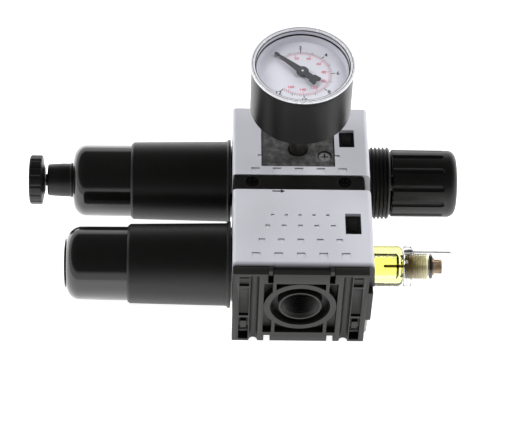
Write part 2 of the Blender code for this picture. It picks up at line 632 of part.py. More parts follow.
def build():
    clear_scene()
    lub = anchor("lubricator_axis", (-MID_X, -MODULE_PITCH / 2, AXIS_HEIGHT))
    fr = anchor("filter_regulator_axis", (-MID_X, MODULE_PITCH / 2, AXIS_HEIGHT))

    lub_body = housing("lubricator_housing", lub, -1, SIGHT_BORE)
    boolean(lub_body, catch_pocket(), lub)
    seal_pocket = moved(tube(HALF_WIDTH - 1.3, HALF_WIDTH + 1, 6.3, 8.5, MIDDLE, "Y"), (PORT_X, 0, PORT_Z))
    boolean(lub_body, seal_pocket, lub)
    front_cover("lubricator_front_cover", lub, -HALF_WIDTH + 5.0)
    rear_cover("lubricator_rear_cover", lub, -HALF_WIDTH + 5.0)
    cover_catch("lubricator_cover_catch", lub)

    fr_body = housing("filter_regulator_housing", fr, 1, CHAMBER_RADIUS)
    boolean(fr_body, catch_pocket(), fr)
    gauge = anchor("gauge_axis", (GAUGE_X, 0, -AXIS_HEIGHT), fr)
    plate_space = box((-PLATE_HALF_X - GAP, -PLATE_HALF_Y - GAP, BODY_HEIGHT - 4),
                      (PLATE_HALF_X + GAP, PLATE_HALF_Y + GAP, BODY_HEIGHT + 3))
    cover = front_cover("filter_regulator_front_cover", fr, -HALF_WIDTH + STRIP_WIDTH + 0.4)
    boolean(cover, plate_space, gauge)
    boolean(fr_body, joined([moved(rod(44.0, BODY_HEIGHT + 2, 3.6, SMALL, "Z"), PLATE_SCREW),
                             rod(40.0, BODY_HEIGHT + 2, 5.6, SMALL, "Z")]), gauge)
    rear_cover("filter_regulator_rear_cover", fr, -HALF_WIDTH + STRIP_WIDTH + 0.4)
    cover_catch("filter_regulator_cover_catch", fr)

    bush = [(0.4, 9.3), (1.4, PORT_BORE), (BUSH_LENGTH, PORT_BORE), (BUSH_LENGTH, BUSH_RADIUS),
            (0.4, BUSH_RADIUS)]
    outlet = moved(spun([(-HALF_WIDTH + y, r) for y, r in bush], ROUND, "Y"), (PORT_X, 0, PORT_Z))
    piece("outlet_port_bush", outlet, lub, "flange")
    inlet = moved(spun([(HALF_WIDTH - y, r) for y, r in bush], ROUND, "Y"), (PORT_X, 0, PORT_Z))
    piece("inlet_port_bush", inlet, fr, "flange")

    drain = anchor("drain_axis", (0, 0, 0), fr)
    spindle = anchor("spindle_axis", (0, 0, 0), fr)
    pointer = anchor("pointer_axis", (0, 0, 0), gauge)
    needle = anchor("needle_axis", (0, 0, 0), lub)
    flap = anchor("flap_axis", (PORT_X, 10.0, PORT_Z + 4.6), lub)
    make_filter(fr, fr, drain)
    make_regulator(fr, spindle)
    make_gauge(gauge, pointer)
    gauge_mount(gauge)
    make_lubricator(lub, lub, needle, flap)
    coupling(lub, fr)


build()
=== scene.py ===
import json
import math

import bmesh
import bpy
from mathutils import Euler, Matrix, Vector


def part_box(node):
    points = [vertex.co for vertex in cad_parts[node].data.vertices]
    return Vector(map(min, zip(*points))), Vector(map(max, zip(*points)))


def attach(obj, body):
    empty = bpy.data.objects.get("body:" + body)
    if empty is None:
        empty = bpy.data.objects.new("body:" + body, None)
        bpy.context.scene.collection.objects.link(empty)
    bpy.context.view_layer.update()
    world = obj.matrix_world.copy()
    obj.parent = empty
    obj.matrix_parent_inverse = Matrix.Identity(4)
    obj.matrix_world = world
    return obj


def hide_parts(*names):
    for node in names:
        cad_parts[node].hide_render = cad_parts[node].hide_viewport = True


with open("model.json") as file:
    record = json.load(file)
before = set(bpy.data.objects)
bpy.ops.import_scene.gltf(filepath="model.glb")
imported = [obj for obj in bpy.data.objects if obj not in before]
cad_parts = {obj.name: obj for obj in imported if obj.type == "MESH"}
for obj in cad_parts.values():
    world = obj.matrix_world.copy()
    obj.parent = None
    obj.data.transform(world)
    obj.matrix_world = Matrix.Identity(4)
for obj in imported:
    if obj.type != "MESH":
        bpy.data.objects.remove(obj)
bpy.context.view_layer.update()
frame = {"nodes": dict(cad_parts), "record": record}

# Air service unit lying on its back.
mm = 0.001
record = frame["record"]
bodyOf = {node: body for body, nodes in record["behaviour"]["bodies"].items() for node in nodes}
slotOf = {part["node"]: part["material_slot"] for part in record["subparts"]}


def low(node):
    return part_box(node)[0] / mm


def high(node):
    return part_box(node)[1] / mm


def middle(node):
    return (low(node) + high(node)) / 2


bodyStart = low("lubricator_housing").x
oilAxis = Vector((bodyStart, middle("oil_bowl").y, middle("oil_bowl").z))
airAxis = Vector((bodyStart, middle("filter_bowl").y, middle("filter_bowl").z))
gaugeAxis = Vector((middle("gauge_case").x, middle("gauge_case").y, 0))
axisHeight = oilAxis.z
moduleTop = high("lubricator_front_cover").z - axisHeight
halfWidth = oilAxis.y - low("lubricator_housing").y


view = {"place": (-0.018088, -0.661674, 0.839402), "turn": (39.1112, -0.6881, 0.1847),
        "lens": 150.45, "shift": (0.0661, 0.0106)}


def makeCamera():
    data = bpy.data.cameras.new("camera")
    data.lens = view["lens"]
    data.sensor_width = 36
    data.shift_x, data.shift_y = view["shift"]
    data.clip_start = 0.01
    camera = bpy.data.objects.new("camera", data)
    camera.location = view["place"]
    camera.rotation_euler = Euler([math.radians(turn) for turn in view["turn"]])
    bpy.context.scene.collection.objects.link(camera)
    bpy.context.scene.camera = camera


class Value:
    # one socket, with the arithmetic that the recipes below use
    def __init__(self, recipe, socket):
        self.recipe = recipe
        self.socket = socket

    def maths(self, operation, first, second):
        return self.recipe.add("ShaderNodeMath", {"operation": operation}, {0: first, 1: second})

    def __add__(self, other):
        return self.maths("ADD", self, other)

    def __radd__(self, other):
        return self.maths("ADD", other, self)

    def __sub__(self, other):
        return self.maths("SUBTRACT", self, other)

    def __rsub__(self, other):
        return self.maths("SUBTRACT", other, self)

    def __mul__(self, other):
        return self.maths("MULTIPLY", self, other)

    def __rmul__(self, other):
        return self.maths("MULTIPLY", other, self)


class Recipe:
    # one material or world, and its nodes
    def __init__(self, owner, fixed=None):
        owner.use_nodes = True
        self.owner = owner
        self.tree = owner.node_tree
        self.shader = self.tree.nodes.get("Principled BSDF") or self.tree.nodes.get("Background")
        for name, value in (fixed or {}).items():
            self.shader.inputs[name].default_value = value

    def add(self, kind, settings=None, sockets=None, output=0):
        node = self.tree.nodes.new(kind)
        for name, value in (settings or {}).items():
            if name == "stops":
                for index, (position, colour) in enumerate(value):
                    stops = node.color_ramp.elements
                    stop = stops[index] if index < 2 else stops.new(position)
                    stop.position = position
                    stop.color = (*colour, 1)
            else:
                setattr(node, name, value)
        for name, value in (sockets or {}).items():
            if isinstance(value, Value):
                self.tree.links.new(value.socket, node.inputs[name])
            else:
                node.inputs[name].default_value = value
        return Value(self, node.outputs[output])

    def feed(self, name, value):
        self.tree.links.new(value.socket, self.shader.inputs[name])

    def spot(self, stretch=(1, 1, 1)):
        # object coordinates in metres, stretched so that a pattern can run along one axis
        place = self.add("ShaderNodeTexCoord", output="Object")
        return self.add("ShaderNodeMapping", None, {"Vector": place, "Scale": stretch})

    def noise(self, size, detail=3.0, stretch=(1, 1, 1)):
        # size is the width of one blotch in millimetres
        return self.add("ShaderNodeTexNoise", None,
                        {"Vector": self.spot(stretch), "Scale": 1 / (size * mm), "Detail": detail})

    def blend(self, mask, first, second):
        return self.add("ShaderNodeMix", {"data_type": "RGBA"},
                        {"Factor": mask, "A": (*first, 1), "B": (*second, 1)}, "Result")

    def ramp(self, value, *stops):
        return self.add("ShaderNodeValToRGB", {"stops": stops}, {0: value})

    def bump(self, height, depth):
        # depth in millimetres
        self.feed("Normal", self.add("ShaderNodeBump", None, {"Strength": 1.0, "Distance": depth * mm,
                                                              "Height": height}))


def makeWorld():
    # white low down all round, dark overhead, so that dark gloss shows a light edge and a dark middle
    world = bpy.data.worlds.new("studio")
    bpy.context.scene.world = world
    sky = Recipe(world)
    direction = sky.add("ShaderNodeTexCoord", output="Generated")
    up = sky.add("ShaderNodeSeparateXYZ", None, {0: direction}, "Z")
    sky.feed("Color", sky.ramp(up, (0.0, (1, 1, 1)), (0.30, (0.95, 0.95, 0.95)), (0.45, (0.07, 0.07, 0.07)),
                               (1.0, (0.018, 0.018, 0.019))))
    sky.shader.inputs["Strength"].default_value = 1.0


floorLook = {"reach": 6.0, "drop": 0.0002, "colour": (0.8, 0.8, 0.8), "glow": 0.9}


def makeFloor():
    shape = bmesh.new()
    bmesh.ops.create_grid(shape, x_segments=1, y_segments=1, size=floorLook["reach"])
    bmesh.ops.translate(shape, vec=(0, 0, -floorLook["drop"]), verts=shape.verts)
    mesh = bpy.data.meshes.new("floor")
    shape.to_mesh(mesh)
    shape.free()
    paper = Recipe(bpy.data.materials.new("paleFloor"),
                   {"Base Color": (*floorLook["colour"], 1), "Roughness": 0.9, "Emission Strength": 1.0})
    grey = floorLook["glow"]
    paper.feed("Emission Color", paper.blend(paper.noise(400), (grey, grey, grey), (grey * 1.02,) * 3))
    mesh.materials.append(paper.owner)
    floor = bpy.data.objects.new("floor", mesh)
    bpy.context.scene.collection.objects.link(floor)


softboxes = {
    "leftBox": {"place": (-1.0, 0.1, 1.1), "size": (0.9, 0.7), "power": 15.5},
    "rightBox": {"place": (0.9, -0.1, 1.3), "size": (0.7, 0.7), "power": 11.5},
    "backBox": {"place": (0.1, 1.5, 1.0), "size": (0.4, 0.3), "power": 9.0},
    "farBox": {"place": (0.9, 1.0, 0.8), "size": (0.5, 0.5), "power": 8.0},
}


def makeLights():
    for name, box in softboxes.items():
        data = bpy.data.lights.new(name, "AREA")
        data.shape = "RECTANGLE"
        data.size, data.size_y = box["size"]
        data.energy = box["power"]
        light = bpy.data.objects.new(name, data)
        light.location = box["place"]
        light.visible_glossy = False    # black gloss shows the room, not the lamps
        light.rotation_euler = (Vector((0, 0, 0.04)) - light.location).to_track_quat("-Z", "Y").to_euler()
        bpy.context.scene.collection.objects.link(light)


def turned(profile, steps=96, axis="X"):
    # (along, radius) points spun about an axis; open ends lie on it
    shape = bmesh.new()
    points = [shape.verts.new((along, 0, radius)) for along, radius in profile]
    edges = [shape.edges.new(pair) for pair in zip(points, points[1:])]
    if profile[0][1] > 0 or profile[-1][1] > 0:
        edges.append(shape.edges.new((points[-1], points[0])))
    bmesh.ops.spin(shape, geom=points + edges, cent=(0, 0, 0), axis=(1, 0, 0), dvec=(0, 0, 0),
                   angle=2 * math.pi, steps=steps, use_merge=True)
    bmesh.ops.remove_doubles(shape, verts=shape.verts, dist=1e-4)
    bmesh.ops.recalc_face_normals(shape, faces=shape.faces)
    if shape.calc_volume(signed=True) < 0:
        bmesh.ops.reverse_faces(shape, faces=shape.faces)
    turns = {"X": Matrix.Identity(3), "Y": Matrix.Rotation(math.pi / 2, 3, "Z"),
             "Z": Matrix.Rotation(-math.pi / 2, 3, "Y")}
    bmesh.ops.rotate(shape, cent=(0, 0, 0), matrix=turns[axis], verts=shape.verts)
    return shape


def softened(profile, reach=0.4, steps=3):
    # every corner of a profile that is off the axis becomes a small curve
    open_ = profile[0][1] == 0 and profile[-1][1] == 0
    made = []
    for index, point in enumerate(profile):
        here = Vector(point)
        before = Vector(profile[index - 1]) - here
        after = Vector(profile[(index + 1) % len(profile)]) - here
        straight = before.length and after.length and before.angle(after) > math.radians(165)
        if point[1] == 0 or straight or (open_ and index in (0, len(profile) - 1)):
            made.append(point)
            continue
        near = min(reach, before.length * 0.45, after.length * 0.45)
        start, end = here + before.normalized() * near, here + after.normalized() * near
        for step in range(steps + 1):
            t = step / steps
            made.append(tuple(start.lerp(here, t).lerp(here.lerp(end, t), t)))
    return made


def arc(centre, radius, first, last, steps=8):
    angles = [math.radians(first + (last - first) * step / steps) for step in range(steps + 1)]
    return [(centre[0] + radius * math.cos(a), centre[1] + radius * math.sin(a)) for a in angles]


def rod(start, end, radius, steps=48, axis="X"):
    return turned([(start, 0), (start, radius), (end, radius), (end, 0)], steps, axis)


def block(lowCorner, highCorner, edge=0.0, segments=2):
    shape = bmesh.new()
    bmesh.ops.create_cube(shape, size=1)
    size = [b - a for a, b in zip(lowCorner, highCorner)]
    bmesh.ops.scale(shape, vec=size, verts=shape.verts)
    bmesh.ops.translate(shape, vec=[(a + b) / 2 for a, b in zip(lowCorner, highCorner)], verts=shape.verts)
    if edge:
        bmesh.ops.bevel(shape, geom=shape.edges, offset=edge, offset_type="OFFSET", affect="EDGES",
                        segments=segments, profile=0.5, material=-1)
    return shape


def prism(points, start, end, axis="Y"):
    # a flat outline pushed along one axis: (x, z) along Y, (x, y) along Z, (y, z) along X
    place = {"X": lambda a, b: (start, a, b), "Y": lambda a, b: (a, start, b),
             "Z": lambda a, b: (a, b, start)}
    step = {"X": (end - start, 0, 0), "Y": (0, end - start, 0), "Z": (0, 0, end - start)}
    shape = bmesh.new()
    face = shape.faces.new([shape.verts.new(place[axis](*point)) for point in points])
    grown = bmesh.ops.extrude_face_region(shape, geom=[face])["geom"]
    corners = [each for each in grown if isinstance(each, bmesh.types.BMVert)]
    bmesh.ops.translate(shape, vec=step[axis], verts=corners)
    bmesh.ops.recalc_face_normals(shape, faces=shape.faces)
    return shape


def shifted(shape, by):
    bmesh.ops.translate(shape, vec=by, verts=shape.verts)
    return shape


def turnedBy(shape, angle, axis):
    bmesh.ops.rotate(shape, cent=(0, 0, 0), matrix=Matrix.Rotation(angle, 3, axis), verts=shape.verts)
    return shape


def joined(shapes):
    whole = bmesh.new()
    for shape in shapes:
        mesh = bpy.data.meshes.new("part")
        shape.to_mesh(mesh)
        shape.free()
        whole.from_mesh(mesh)
        bpy.data.meshes.remove(mesh)
    return whole


def carved(shape, *tools, operation="DIFFERENCE"):
    # cuts each tool out of the shape, or joins each one on, and gives a new shape
    meshes = []
    for each in (shape, *tools):
        mesh = bpy.data.meshes.new("blank")
        each.to_mesh(mesh)
        each.free()
        meshes.append(mesh)
    objects = [bpy.data.objects.new("blank", mesh) for mesh in meshes]
    for blank in objects:
        bpy.context.scene.collection.objects.link(blank)
    for helper in objects[1:]:
        change = objects[0].modifiers.new("carve", "BOOLEAN")
        change.operation = operation
        change.solver = "EXACT"
        change.object = helper
    result = bmesh.new()
    result.from_object(objects[0], bpy.context.evaluated_depsgraph_get())
    for blank in objects:
        bpy.data.objects.remove(blank)
    for mesh in meshes:
        bpy.data.meshes.remove(mesh)
    bmesh.ops.remove_doubles(result, verts=result.verts, dist=1e-4)
    bmesh.ops.dissolve_limit(result, angle_limit=math.radians(0.2), verts=result.verts, edges=result.edges)
    return result


def finish(name, shape, node, origin, finishName=None, edge=0.0, replaces=True, sharp=32, segments=2):
    # millimetres about a module's origin become a piece in metres that rides with its node's body
    bmesh.ops.translate(shape, vec=origin, verts=shape.verts)
    bmesh.ops.scale(shape, vec=(mm, mm, mm), verts=shape.verts)
    mesh = bpy.data.meshes.new(name)
    shape.to_mesh(mesh)
    shape.free()
    mesh.shade_smooth()
    mesh.set_sharp_from_angle(angle=math.radians(sharp))
    mesh.materials.append(materials[finishName or slotOf[node]])
    made = bpy.data.objects.new(name, mesh)
    bpy.context.scene.collection.objects.link(made)
    if edge:
        soft = made.modifiers.new("edges", "BEVEL")
        soft.width = edge * mm
        soft.segments = segments
        soft.limit_method = "ANGLE"
        soft.angle_limit = math.radians(sharp)
        soft.harden_normals = False
    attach(made, bodyOf[node])
    if replaces:
        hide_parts(node)
    return made


def plastic(name, colour, roughness, grain=0.03, shine=0.5, deep=None):
    # moulded plastic: fine spark-eroded grain, faint blotches and a few duller rubs
    made = Recipe(bpy.data.materials.new(name), {"Specular IOR Level": shine})
    blotch = made.noise(9.0, 4.0)
    rub = made.noise(2.2, 5.0, (1, 1, 2.5))
    darker = tuple(0.8 * c for c in colour)
    lighter = tuple(1.25 * c + 0.001 for c in colour)
    mask = blotch * 0.7 + rub * 0.3
    if deep:
        # painted shade: the colour is made darker in the pockets behind the port faces, where shade falls
        along = made.add("ShaderNodeSeparateXYZ", None, {0: made.spot()}, "Y")
        off = made.add("ShaderNodeMath", {"operation": "ABSOLUTE"}, {0: along - deep["middle"]})
        inside = made.add("ShaderNodeMath", {"operation": "MULTIPLY", "use_clamp": True},
                          {0: deep["face"] - off, 1: 1 / deep["reach"]})
        mask = mask - inside * deep["strength"]
    made.feed("Base Color", made.blend(mask, darker, lighter))
    made.feed("Roughness", roughness - 0.08 + rub * 0.16)
    made.bump(made.noise(0.28, 2.0) * 0.7 + made.noise(0.9, 2.0) * 0.3, grain)
    return made.owner


# where the painted shade on the silver cover's tongue starts, and how far it fades in
tongue = {"y": (oilAxis.y - halfWidth + 8.1) * mm, "reach": 3.2 * mm}


def silverPaint():
    # satin silver: flakes vary the shine, with a very fine orange peel
    made = Recipe(bpy.data.materials.new("silverPaint"), {"Metallic": 0.15, "Specular IOR Level": 0.4})
    flake = made.add("ShaderNodeTexVoronoi", {"feature": "F1"},
                     {"Vector": made.spot(), "Scale": 1 / (0.22 * mm)}, "Color")
    grains = made.add("ShaderNodeRGBToBW", None, {0: flake})
    cloud = made.noise(14.0, 3.0)
    paint = cloud * 0.6 + grains * 0.4
    # painted shade: the colour darkens to near black towards the tongue, where the cover turns down to the
    # flange, away from the light
    y = made.add("ShaderNodeSeparateXYZ", None, {0: made.spot()}, "Y")
    turn = made.add("ShaderNodeMath", {"operation": "MULTIPLY", "use_clamp": True},
                    {0: tongue["y"] - y, 1: 1 / tongue["reach"]})
    silver = made.blend(paint, (0.530, 0.530, 0.575), (0.60, 0.60, 0.655))
    shaded = made.add("ShaderNodeMix", {"data_type": "RGBA"},
                      {"Factor": turn, "A": silver, "B": (0.02, 0.02, 0.022, 1)}, "Result")
    made.feed("Base Color", shaded)
    made.feed("Roughness", 0.36 + grains * 0.12)
    made.bump(made.noise(0.7, 2.0), 0.012)
    return made.owner


def lacquer():
    # black lacquer on a drawn bowl: slow ripple, faint hairlines round the bowl
    made = Recipe(bpy.data.materials.new("bowlLacquer"), {"Coat Weight": 0.6, "Coat Roughness": 0.03})
    hair = made.noise(0.5, 2.0, (1, 0.04, 0.04))
    made.feed("Base Color", made.blend(made.noise(12.0), (0.004, 0.004, 0.004), (0.007, 0.007, 0.0065)))
    made.feed("Roughness", 0.1 + hair * 0.1)
    made.bump(made.noise(3.5, 1.0), 0.010)
    return made.owner


def metal(name, dark, light, roughness, stretch=(1, 0.05, 0.05), size=0.35, metallic=1.0, depth=0.012):
    # turned or drawn metal: tool marks along one direction over slow blotches
    made = Recipe(bpy.data.materials.new(name), {"Metallic": metallic})
    marks = made.noise(size, 3.0, stretch)
    made.feed("Base Color", made.blend(made.noise(5.0, 3.0) * 0.6 + marks * 0.4, dark, light))
    made.feed("Roughness", roughness - 0.06 + marks * 0.14)
    made.bump(marks, depth)
    return made.owner


threadShade = {"start": 82.5, "length": 14.0}


def threadBrass():
    # brown at the collar, pale by the seal, with fine turning marks
    made = Recipe(bpy.data.materials.new("threadBrass"), {"Metallic": 0.6})
    along = made.add("ShaderNodeSeparateXYZ", None, {0: made.spot()}, "X")
    part = made.add("ShaderNodeMath", {"operation": "MULTIPLY", "use_clamp": True},
                    {0: along - (oilAxis.x + threadShade["start"]) * mm, 1: 1 / (threadShade["length"] * mm)})
    marks = made.noise(0.3, 3.0, (1, 0.05, 0.05))
    made.feed("Base Color", made.ramp(part + marks * 0.12,
                                      (0.0, (0.06, 0.03, 0.012)), (0.35, (0.36, 0.28, 0.09)),
                                      (0.85, (0.85, 0.80, 0.55)), (0.97, (0.36, 0.25, 0.15))))
    made.feed("Roughness", 0.34 + marks * 0.16)
    made.bump(marks, 0.006)
    return made.owner


def castZinc():
    # dull cast plate: cloudy, with brighter patches
    made = Recipe(bpy.data.materials.new("castZinc"), {"Metallic": 0.5})
    cloud = made.noise(2.4, 5.0)
    made.feed("Base Color", made.ramp(cloud, (0.34, (0.085, 0.085, 0.085)), (0.5, (0.125, 0.125, 0.123)),
                                      (0.68, (0.20, 0.20, 0.205))))
    made.feed("Roughness", 0.18 + made.noise(2.0, 4.0) * 0.3)
    made.bump(made.noise(0.8, 3.0), 0.02)
    return made.owner


def rubber():
    made = Recipe(bpy.data.materials.new("blackRubber"), {"Sheen Weight": 0.1})
    made.feed("Base Color", made.blend(made.noise(1.5), (0.012, 0.012, 0.012), (0.022, 0.021, 0.021)))
    made.feed("Roughness", 0.5 + made.noise(0.6) * 0.2)
    made.bump(made.noise(0.3), 0.02)
    return made.owner


def printedPaint(name, dark, light, roughness=0.45):
    made = Recipe(bpy.data.materials.new(name), {"Specular IOR Level": 0.4})
    made.feed("Base Color", made.blend(made.noise(3.0, 4.0), dark, light))
    made.feed("Roughness", roughness + made.noise(0.4) * 0.1)
    return made.owner


def clearPlastic(name, colour, tint):
    # clear moulded plastic: a trace of cloudiness and very slow waves
    made = Recipe(bpy.data.materials.new(name), {"Transmission Weight": 1.0, "IOR": 1.46})
    # painted shade: the base colour darkens at grazing angles, so clear parts show dark edge lines
    slant = made.add("ShaderNodeLayerWeight", None, {"Blend": 0.5}, "Facing")
    slant = slant * slant * slant * slant
    edge = made.add("ShaderNodeMix", {"data_type": "RGBA"},
                    {"Factor": slant * 0.8, "A": made.blend(made.noise(8.0, 3.0), colour, tint),
                     "B": (*(0.3 * c for c in colour), 1)}, "Result")
    made.feed("Base Color", edge)
    made.feed("Roughness", 0.01 + made.noise(2.0, 3.0) * 0.03)
    made.bump(made.noise(5.0, 1.0), 0.006)
    return made.owner


def windowPane():
    # thin flat pane: mostly see-through, with gloss that grows at a slant
    made = Recipe(bpy.data.materials.new("windowPane"))
    clear = made.add("ShaderNodeBsdfTransparent")
    gloss = made.add("ShaderNodeBsdfGlossy", None, {"Roughness": 0.02})
    slant = made.add("ShaderNodeLayerWeight", None, {"Blend": 0.5}, "Facing")
    slant = slant * slant * slant * slant
    smear = made.noise(6.0, 4.0)
    share = 0.03 + slant * (0.4 + smear * 0.1)
    mixed = made.add("ShaderNodeMixShader", None, {0: share, 1: clear, 2: gloss})
    made.tree.links.new(mixed.socket, made.tree.nodes["Material Output"].inputs["Surface"])
    return made.owner


def sintered():
    # porous filter material: grains stuck together
    made = Recipe(bpy.data.materials.new("sinteredFilter"))
    grain = made.add("ShaderNodeTexVoronoi", {"feature": "F1"},
                     {"Vector": made.spot(), "Scale": 1 / (0.5 * mm)}, "Distance")
    made.feed("Base Color", made.blend(grain, (0.82, 0.80, 0.72), (0.5, 0.48, 0.42)))
    made.feed("Roughness", 0.75 + grain * 0.2)
    made.bump(1 - grain, 0.15)
    return made.owner


# where the painted shade in the port pockets lies: the middle plane, the face distance, the fade and its
# strength
portPocketShade = {"middle": (oilAxis.y + airAxis.y) / 2 * mm,
             "face": ((airAxis.y - oilAxis.y) / 2 + halfWidth - 1.0) * mm,
             "reach": 2.0 * mm, "strength": 0.75}
materials = {
    "silver_paint": silverPaint(),
    "black_plastic": plastic("blackMoulding", (0.0042, 0.004, 0.0038), 0.4, shine=0.42),
    "port_plastic": plastic("portMoulding", (0.0135, 0.0135, 0.012), 0.44, shine=0.38, deep=portPocketShade),
    "caseBlack": plastic("caseMoulding", (0.004, 0.004, 0.004), 0.34, shine=0.2),
    "grey_plastic": plastic("greyMoulding", (0.60, 0.61, 0.62), 0.45),
    "bowl_black": lacquer(),
    "steel": metal("brightSteel", (0.46, 0.46, 0.45), (0.72, 0.72, 0.70), 0.26),
    "black_steel": metal("blackenedSteel", (0.016, 0.016, 0.015), (0.06, 0.06, 0.056), 0.38, (1, 1, 1), 1.2),
    "zinc": castZinc(),
    "brass": metal("turnedBrass", (0.42, 0.35, 0.13), (0.68, 0.60, 0.28), 0.24),
    "threadBrass": threadBrass(),
    "rubber": rubber(),
    "dial_paint": printedPaint("dialPaint", (0.61, 0.61, 0.67), (0.66, 0.66, 0.72)),
    "pointer_paint": printedPaint("pointerPaint", (0.065, 0.07, 0.076), (0.085, 0.09, 0.098), 0.35),
    "clear_plastic": clearPlastic("clearMoulding", (0.97, 0.98, 0.97), (1.0, 1.0, 1.0)),
    "yellow_plastic": clearPlastic("yellowMoulding", (0.985, 0.985, 0.40), (1.0, 1.0, 0.47)),
    "filter_plastic": sintered(),
    "pane": windowPane(),
    "rim": metal("polishedRim", (0.76, 0.76, 0.80), (0.84, 0.84, 0.88), 0.25, (1, 1, 1), 3.0, 0.3, 0.001),
    "stemNickel": metal("stemNickel", (0.08, 0.075, 0.065), (0.22, 0.21, 0.18), 0.28),
    "darkInk": printedPaint("darkInk", (0.02, 0.02, 0.022), (0.04, 0.04, 0.042)),
    "redInk": printedPaint("redInk", (0.55, 0.10, 0.14), (0.62, 0.16, 0.20)),
    "screwSteel": metal("screwSteel", (0.2, 0.2, 0.2), (0.34, 0.34, 0.34), 0.3, (1, 1, 1), 0.8, 0.35, 0.004),
    "pinSteel": printedPaint("pinSteel", (0.55, 0.55, 0.55), (0.7, 0.7, 0.7), 0.2),
}
for node, part in frame["nodes"].items():
    part.data.materials.clear()
    part.data.materials.append(materials[slotOf[node]])
print("finishes ready:", len(materials))


body = {"length": 64.0, "wall": 2.2, "foot": 37.5, "rearDepth": 16.0, "bandLength": 66.5, "coreStart": 2.8,
        "coreEnd": 62.3, "flange": 4.7, "gap": 0.3, "bowlBore": 18.4, "bowlSocket": 14.0}
port = {"x": 32.2, "z": 1.0, "bush": 10.6, "bushDepth": 14.3, "passage": 6.0, "ringOuter": 17.3,
        "ringInner": 14.3, "recessDepth": 3.6, "recess": (14.7, 49.7, 7.0, 45.2), "bars": (18.9, 43.9),
        "barWidth": 1.6, "channel": (10.3, 2.1), "notch": (16.4, 19.0), "scoop": (3.0, 7.7, 32.4, 18.6)}
# low x, high x, low z, high z and depth of each slot in a port face, z from the back of the unit
slots = {"hole": (3.0, 7.7, 1.6, 9.2, 9.0), "lugPocket": (3.0, 7.7, 9.0, 18.9, 2.6),
         "lowGroove": (3.0, 7.7, 20.3, 22.4, 4.2), "highGroove": (3.0, 7.7, 47.6, 50.2, 3.6),
         "step": (3.0, 7.7, 43.2, 49.4, 1.3), "footRelief": (15.4, 18.4, -2.0, 4.6, 9.0),
         "notch": (*port["notch"], 45.8, 56.0, 7.0)}
lug = {"inset": 0.9, "depth": 1.2, "bottom": 8.0, "top": 14.4}


def mirroredX(x):
    return 2 * port["x"] - x


def portFaceTools(face, inward):
    # the pockets, channels and slots of a port face on the plane y = face
    def slot(xLow, xHigh, zLow, zHigh, depth):
        ends = sorted((face - inward, face + inward * depth))
        return block((xLow, ends[0], zLow - axisHeight), (xHigh, ends[1], zHigh - axisHeight), 0.12)

    tools = []
    for mirrored in (False, True):
        for name, (xLow, xHigh, zLow, zHigh, depth) in slots.items():
            if mirrored:
                xLow, xHigh = mirroredX(xHigh), mirroredX(xLow)
            pocket = slot(xLow, xHigh, zLow, zHigh, depth)
            if name == "lugPocket":
                ends = sorted((face + inward * lug["depth"], face + inward * 3))
                stub = block((xLow + lug["inset"], ends[0], lug["bottom"] - axisHeight),
                             (xHigh - lug["inset"], ends[1], lug["top"] - axisHeight))
                pocket = carved(pocket, stub)
            tools.append(pocket)
        # a round scoop, 3 mm deep at its middle
        xLow, xHigh, z, radius = port["scoop"]
        scoop = shifted(rod(xLow, xHigh, radius, 96), (0, face + inward * (3.0 - radius), z - axisHeight))
        if mirrored:
            scoop = shifted(scoop, (mirroredX(xHigh) - xLow, 0, 0))
        tools.append(scoop)
        x, radius = port["channel"]
        channel = rod(-axisHeight - 2, 24.5, radius, 32, "Z")
        tools.append(shifted(channel, (mirroredX(x) if mirrored else x, face + inward * 0.15, 0)))
    return tools


def makeHousing(name, node, origin, side, chamber, windowTool):
    # side is -1 where the port faces low y, +1 where it faces high y
    gap, length = body["gap"], body["length"]
    bandLow, bandHigh = body["rearDepth"] + gap - axisHeight, body["foot"] - gap - axisHeight
    coreLow, coreHigh = body["wall"] + gap - axisHeight, moduleTop - body["wall"] - gap
    start, end = body["coreStart"], body["coreEnd"]
    outline = [(start, coreLow), (end, coreLow), (end, bandLow), (body["bandLength"], bandLow),
               (body["bandLength"], bandHigh), (end, bandHigh), (end, coreHigh), (start, coreHigh),
               (start, bandHigh), (0, bandHigh), (0, bandLow), (start, bandLow)]
    inset = 0 if side < 0 else 2.6
    thick = body["flange"] if side < 0 else 8.4
    shape = prism(outline, -halfWidth + 1.0, halfWidth)
    flange = block((0, -halfWidth, inset - axisHeight), (length, thick - halfWidth, moduleTop - inset), 0.25)
    shape = carved(shape, flange, operation="UNION")
    face, inward = side * halfWidth, -side
    tools = []
    if side < 0:
        tools += portFaceTools(face, inward)
        # the flange is thin behind the cover's tongue
        tools.append(block((port["notch"][1] - 0.3, -halfWidth + 2.8, moduleTop - 4.2),
                           (mirroredX(port["notch"][1]) + 0.3, -halfWidth + 6.5, moduleTop + 2)))
    ends = sorted((face - inward, face + inward * port["recessDepth"]))
    xLow, xHigh, zLow, zHigh = port["recess"]
    recess = block((xLow, ends[0], zLow - axisHeight), (xHigh, ends[1], zHigh - axisHeight), 0.3)
    bars = [block((x, ends[0] - 1, -axisHeight), (x + port["barWidth"], ends[1] + 1, axisHeight))
            for x in port["bars"]]
    ring = rod(ends[0] - 1, ends[1] + 1, port["ringOuter"], 96, "Y")
    tools.append(carved(recess, *bars, shifted(ring, (port["x"], 0, port["z"]))))
    bore = [(-1, 0), (-1, port["ringInner"]), (5.0, port["ringInner"]), (5.0, port["bush"]),
            (port["bushDepth"], port["bush"]), (port["bushDepth"], port["passage"]),
            (2 * halfWidth + 1, port["passage"]), (2 * halfWidth + 1, 0)]
    bore = turned([(face + inward * depth, radius) for depth, radius in bore], 96, "Y")
    tools.append(shifted(bore, (port["x"], 0, port["z"])))
    through = [(-2, 0), (-2, body["bowlBore"]), (body["bowlSocket"], body["bowlBore"]),
               (body["bowlSocket"], 8.0), (51.5, 8.0), (51.5, chamber),
               (body["bandLength"] + 3, chamber), (body["bandLength"] + 3, 0)]
    tools += [turned(through, 96), windowTool]
    shape = carved(shape, *tools)
    return finish(name, shape, node, origin, edge=0.22)


